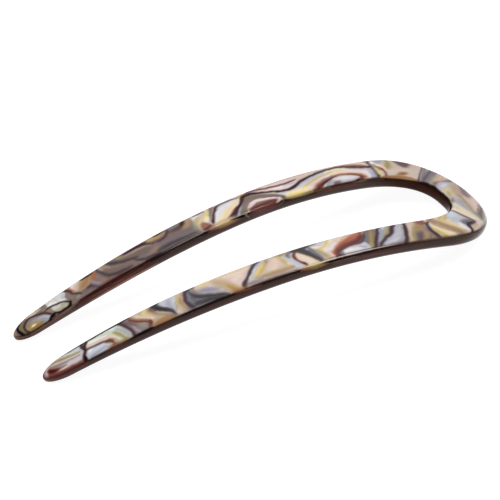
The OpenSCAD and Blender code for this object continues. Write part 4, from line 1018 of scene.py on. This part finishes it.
    ribbon("caramel", (73.6, 0.2, 0.1), (75.8, 0.25, 0.4), (77.8, 0.15, 0.1), soft=0.4, strength=0.9)
    ribbon("rust", (70.6, 0.8, 0.2), (74, 0.7, 0.4), (77, 0.6, 0.2), soft=0.4, strength=0.7)
    ribbon("caramel", (91.6, 0.2, 0.1), (94.6, 0.22, 0.35), (98.4, 0.15, 0.1), soft=0.4, strength=0.9)
    ribbon("umber", (91, 0.7, 0.2), (95, 0.7, 0.4), (99, 0.5, 0.2), soft=0.4)
    ribbon("caramel", (103.6, 0.15, 0.1), (106, 0.25, 0.35), (109, 0.15, 0.1), soft=0.4, strength=0.85)
    ribbon("chestnut", (104, 0.6, 0.2), (107, 0.6, 0.4), (110, 0.5, 0.2), soft=0.4, strength=0.7)
    ribbon("maroon", (114.6, 0.9, 0.6), (118, 1.1, 1.4), (122, 1, 1.4), (125, 1, 1), soft=0.6, strength=0.9)
    # A black band a little higher on the wall: painted shade
    ribbon("black", (97.4, 0.4, 0.2), (99.6, 0.42, 0.4), (102, 0.38, 0.2), soft=0.3, strength=0.9)
    ribbon("garnet", (114.6, 0.4, 0.3), (118, 0.4, 0.5), (122, 0.4, 0.5), (124.6, 0.5, 0.3), strength=0.7)
    ribbon("umber", (38, 0.11, 0.03), (42, 0.12, 0.08), (50, 0.12, 0.08), (54.6, 0.11, 0.03), soft=0.1,
           strength=0.75)
    # Thin pale lines along the rounding of this wall: painted highlights
    ribbon("blush", (35, 0.24, 0.02), (40, 0.26, 0.08), (46, 0.26, 0.1), (59.4, 0.26, 0.08), soft=0.1)
    ribbon("blush", (82, 0.26, 0.04), (86, 0.26, 0.1), (90.4, 0.24, 0.06), soft=0.1, strength=0.5)

    # The other two walls glow under the pale cells of the pattern, and one of them at its tip
    sheet.onto_wall(upper=False, inner=True)
    for colour, start, end in (
        ("sand", 13, 22), ("cocoa", 22.5, 26), ("beige", 26, 28.5), ("steel", 29.5, 35), ("rust", 41, 45),
        ("cream", 46, 50), ("mustard", 60, 66.5), ("straw", 71, 84), ("steel", 89, 93), ("sand", 95.6, 100.5),
        ("jade", 104.6, 112), ("olive", 115, 122),
    ):
        shine_through(sheet, colour, start, end)
    sheet.onto_wall(upper=True, inner=False)
    ribbon("caramel", (122.4, 0.5, 0.2), (124, 0.5, 0.5), (125.2, 0.5, 0.5), strength=0.6)
    for colour, start, end in (
        ("beige", 8, 15), ("olive", 15, 17.5), ("blush", 22, 34), ("sand", 36, 50), ("mustard", 57.6, 59.6),
        ("pearl", 60, 66), ("straw", 68, 71), ("tan", 73.4, 75.6), ("tan", 80.4, 86), ("olive", 92.6, 94.4),
        ("tan", 101.6, 107), ("silver", 109.6, 115), ("cream", 116.6, 120),
    ):
        shine_through(sheet, colour, start, end)


# Below the rounding the sheet's colour is turned, more with depth, to a painted shade as dark as the back
shade_from, shade_over = 0.17, 0.38
slab.pour("wall_shade", slice(None), (slab.depth - shade_from) / shade_over)
edge_glow(slab)
slab.keep_on(pearl)


class Wire:
    """A shader socket that can be used in sums: each operator adds one Math node."""

    def __init__(self, nodes, socket):
        self.nodes = nodes
        self.socket = socket

    def math(self, operation, first, second):
        return self.nodes.node("ShaderNodeMath", {"operation": operation}, {0: first, 1: second})

    def __add__(self, other):
        return self.math("ADD", self, other)

    def __radd__(self, other):
        return self.math("ADD", other, self)

    def __sub__(self, other):
        return self.math("SUBTRACT", self, other)

    def __rsub__(self, other):
        return self.math("SUBTRACT", other, self)

    def __mul__(self, other):
        return self.math("MULTIPLY", self, other)

    def __rmul__(self, other):
        return self.math("MULTIPLY", other, self)


class Nodes:
    """The node tree of a material or of the room, and the sockets of its last shader."""

    def __init__(self, owner, shader, constants):
        owner.use_nodes = True
        self.owner = owner
        self.tree = owner.node_tree
        self.surface = self.tree.nodes[shader]
        for socket, value in constants.items():
            self.surface.inputs[socket].default_value = value

    def node(self, kind, settings, sockets, out=0):
        """A node of a type, with its settings made first and then the values or links of its sockets."""
        added = self.tree.nodes.new(kind)
        for setting, value in settings.items():
            setattr(added, setting, value)
        for socket, value in sockets.items():
            if isinstance(value, Wire):
                self.tree.links.new(value.socket, added.inputs[socket])
            else:
                added.inputs[socket].default_value = value
        return Wire(self, added.outputs[out])

    def join(self, wire, socket):
        self.tree.links.new(wire.socket, self.surface.inputs[socket])


def finish(name, constants):
    """A material with constant values on its surface shader."""
    return Nodes(bpy.data.materials.new(name), "Principled BSDF", constants)


def polish(sheet_finish):
    """How far the buffing wheel reached: everywhere but the wall inside the bow."""
    dull_to, dulling_from, wall_from = 17, 24, 0.97
    along = sheet_finish.node("ShaderNodeAttribute", {"attribute_name": "along"}, {}, "Fac")
    share = sheet_finish.node("ShaderNodeAttribute", {"attribute_name": "share"}, {}, "Fac")
    bow_range = {"Value": along, "From Min": dulling_from, "From Max": dull_to}
    in_bow = sheet_finish.node("ShaderNodeMapRange", {}, bow_range)
    wall_range = {"Value": share, "From Min": wall_from, "From Max": 1}
    on_wall = sheet_finish.node("ShaderNodeMapRange", {}, wall_range)
    return 1 - in_bow * on_wall


def acetate_finish(name, constants):
    """The gloss that both sheets were buffed to, with the place on a sheet and the pattern's colour there."""
    sheet_finish = finish(name, {"IOR": 1.15, "Coat IOR": 1.26, "Coat Roughness": 0.08, **constants})
    sheet_finish.join(polish(sheet_finish), "Coat Weight")
    place = sheet_finish.node("ShaderNodeTexCoord", {}, {}, "Object")
    tint = sheet_finish.node("ShaderNodeAttribute", {"attribute_name": "tint"}, {}, "Color")
    return sheet_finish, place, tint


# Fine silk and wider clouds in the pearl move its brightness and its gloss by a little
pearl_finish, place, tint = acetate_finish("pearl_acetate", {})
silk_noise = {"Vector": place, "Scale": 900, "Detail": 3, "Roughness": 0.6}
silk = pearl_finish.node("ShaderNodeTexNoise", {}, silk_noise)
cloud_noise = {"Vector": place, "Scale": 210, "Detail": 2, "Distortion": 1.2}
cloud = pearl_finish.node("ShaderNodeTexNoise", {}, cloud_noise)
brightness = 0.9 + silk * 0.1 + cloud * 0.1
clouded = pearl_finish.node("ShaderNodeVectorMath", {"operation": "SCALE"}, {0: tint, "Scale": brightness})
pearl_finish.join(clouded, "Base Color")
pearl_finish.join(0.06 + silk * 0.12, "Roughness")
ripple = pearl_finish.node("ShaderNodeBump", {}, {"Height": cloud, "Strength": 0.04, "Distance": 0.0005})
pearl_finish.join(ripple, "Normal")
pearl.data.materials.append(pearl_finish.owner)
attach(pearl, "root")
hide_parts("pearl_face")

# The tortoise back.
# A thicker sheet of dark red-brown acetate with a soft mottling, cemented under the face with a film as thin
# as the open joint, and sawn, bent and tumbled with it. It is a little translucent, and the amber that it
# shows at the side under the pale cells is painted into its colour as glow.

# The rows crowd towards both edges of the wall
back_rows = 12
back_heights = [back_t * (1 - cos(i / back_rows * pi)) / 2 - sheet_t / 2 for i in range(back_rows + 1)]
tortoise = bent_layer("tortoise_sheet", back_heights, prong_steps=200, across_steps=16)
base = Slab(tortoise, "tortoise")
edge_glow(base)
base.keep_on(tortoise)
tortoise_finish, place, tint = acetate_finish("tortoise_acetate", {"Roughness": 0.12})
mottle_noise = {"Vector": place, "Scale": 140, "Detail": 2, "Distortion": 0.8}
mottle = tortoise_finish.node("ShaderNodeTexNoise", {}, mottle_noise)
brightness = 0.5 + mottle
mottled = tortoise_finish.node("ShaderNodeVectorMath", {"operation": "SCALE"}, {0: tint, "Scale": brightness})
tortoise_finish.join(mottled, "Base Color")
tortoise.data.materials.append(tortoise_finish.owner)
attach(tortoise, "root")
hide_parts("tortoise_back")

# Both sheets are brought together from the arch's own middle to where the solids rest
places = [vert.co for piece in (pearl, tortoise) for vert in piece.data.vertices]
middle_x = (min(spot.x for spot in places) + max(spot.x for spot in places)) / 2
lowest = min(spot.z for spot in places)
rest_x = (cad_box[0][0] + cad_box[1][0]) / 2
rest_z = cad_box[0][2]
for piece in (pearl, tortoise):
    piece.data.transform(Matrix.Translation((rest_x - middle_x, 0, rest_z - lowest)))

# The floor and the light.
# A pale sweep that the light washes out to white. One large soft box overhead lights the pin but isn't
# mirrored in it, and a narrow window is mirrored but lights nothing. The room is dim, with a far wall that is
# bright low down, so that the gloss on the arch has something pale to show.
floor_mesh = bpy.data.meshes.new("floor")
bm = bmesh.new()
bmesh.ops.create_grid(bm, x_segments=1, y_segments=1, size=3.0)
bm.to_mesh(floor_mesh)
bm.free()
floor = bpy.data.objects.new("floor", floor_mesh)
scene.collection.objects.link(floor)
floor_finish = finish("floor_white", {
    "Base Color": (0.25, 0.25, 0.25, 1),
    "Roughness": 1.0,
    "Specular IOR Level": 0.0,
    "Emission Color": (1, 1, 1, 1),
    "Emission Strength": 0.95,
})
floor_mesh.materials.append(floor_finish.owner)


def soft_light(name, size, energy, place, aim, turn=0):
    """An area light at a place, facing another, turned about its own axis by some degrees."""
    light = bpy.data.lights.new(name, "AREA")
    light.shape = "RECTANGLE"
    light.size, light.size_y = size
    light.energy = energy
    lamp = bpy.data.objects.new(name, light)
    facing = (Vector(aim) - Vector(place)).to_track_quat("-Z", "Y").to_matrix().to_4x4()
    lamp.matrix_world = Matrix.Translation(place) @ facing @ Matrix.Rotation(radians(turn), 4, "Z")
    scene.collection.objects.link(lamp)
    return lamp


softbox = soft_light(
    "overhead_softbox", (1.1, 0.5), energy=6.25, place=(0.05, 0.1, 0.6), aim=(0.05, 0.1, 0), turn=-26
)
softbox.visible_glossy = False
window = soft_light("side_window", (0.34, 0.06), energy=2.5, place=(0.32, -0.4, 0.86), aim=(0, 0, 0))
window.visible_diffuse = False

room = Nodes(bpy.data.worlds.new("room"), "Background", {})
scene.world = room.owner
direction = room.node("ShaderNodeTexCoord", {}, {}, "Generated")
sideways = room.node("ShaderNodeSeparateXYZ", {}, {0: direction}, "Y")
upward = room.node("ShaderNodeSeparateXYZ", {}, {0: direction}, "Z")
low = room.node("ShaderNodeMapRange", {}, {"Value": upward, "From Min": 0.55, "From Max": 0.05})
far = room.node("ShaderNodeMapRange", {}, {"Value": sideways, "From Min": -0.2, "From Max": 0.4})
room_light, wall_light = 0.12, 0.8
room.join(room_light + low * far * wall_light, "Strength")
scene.view_settings.view_transform = "Standard"

# The camera.
# It looks down on the pin from beyond the tips on the near side, through a long lens, as the photograph does.
camera_data = bpy.data.cameras.new("camera")
camera_data.lens = 140.56
camera_data.sensor_width = 36
camera_data.clip_start = 0.01
camera = bpy.data.objects.new("camera", camera_data)
scene.collection.objects.link(camera)
camera_place = Vector((-168.8, -342.6, 287.3)) * MM
camera_aim = Vector((-2.52, -0.39, 9.842)) * MM
camera_roll = radians(-3.27)
view = (camera_aim - camera_place).to_track_quat("-Z", "Y").to_matrix().to_4x4()
camera.matrix_world = Matrix.Translation(camera_place) @ view @ Matrix.Rotation(camera_roll, 4, "Z")
scene.camera = camera
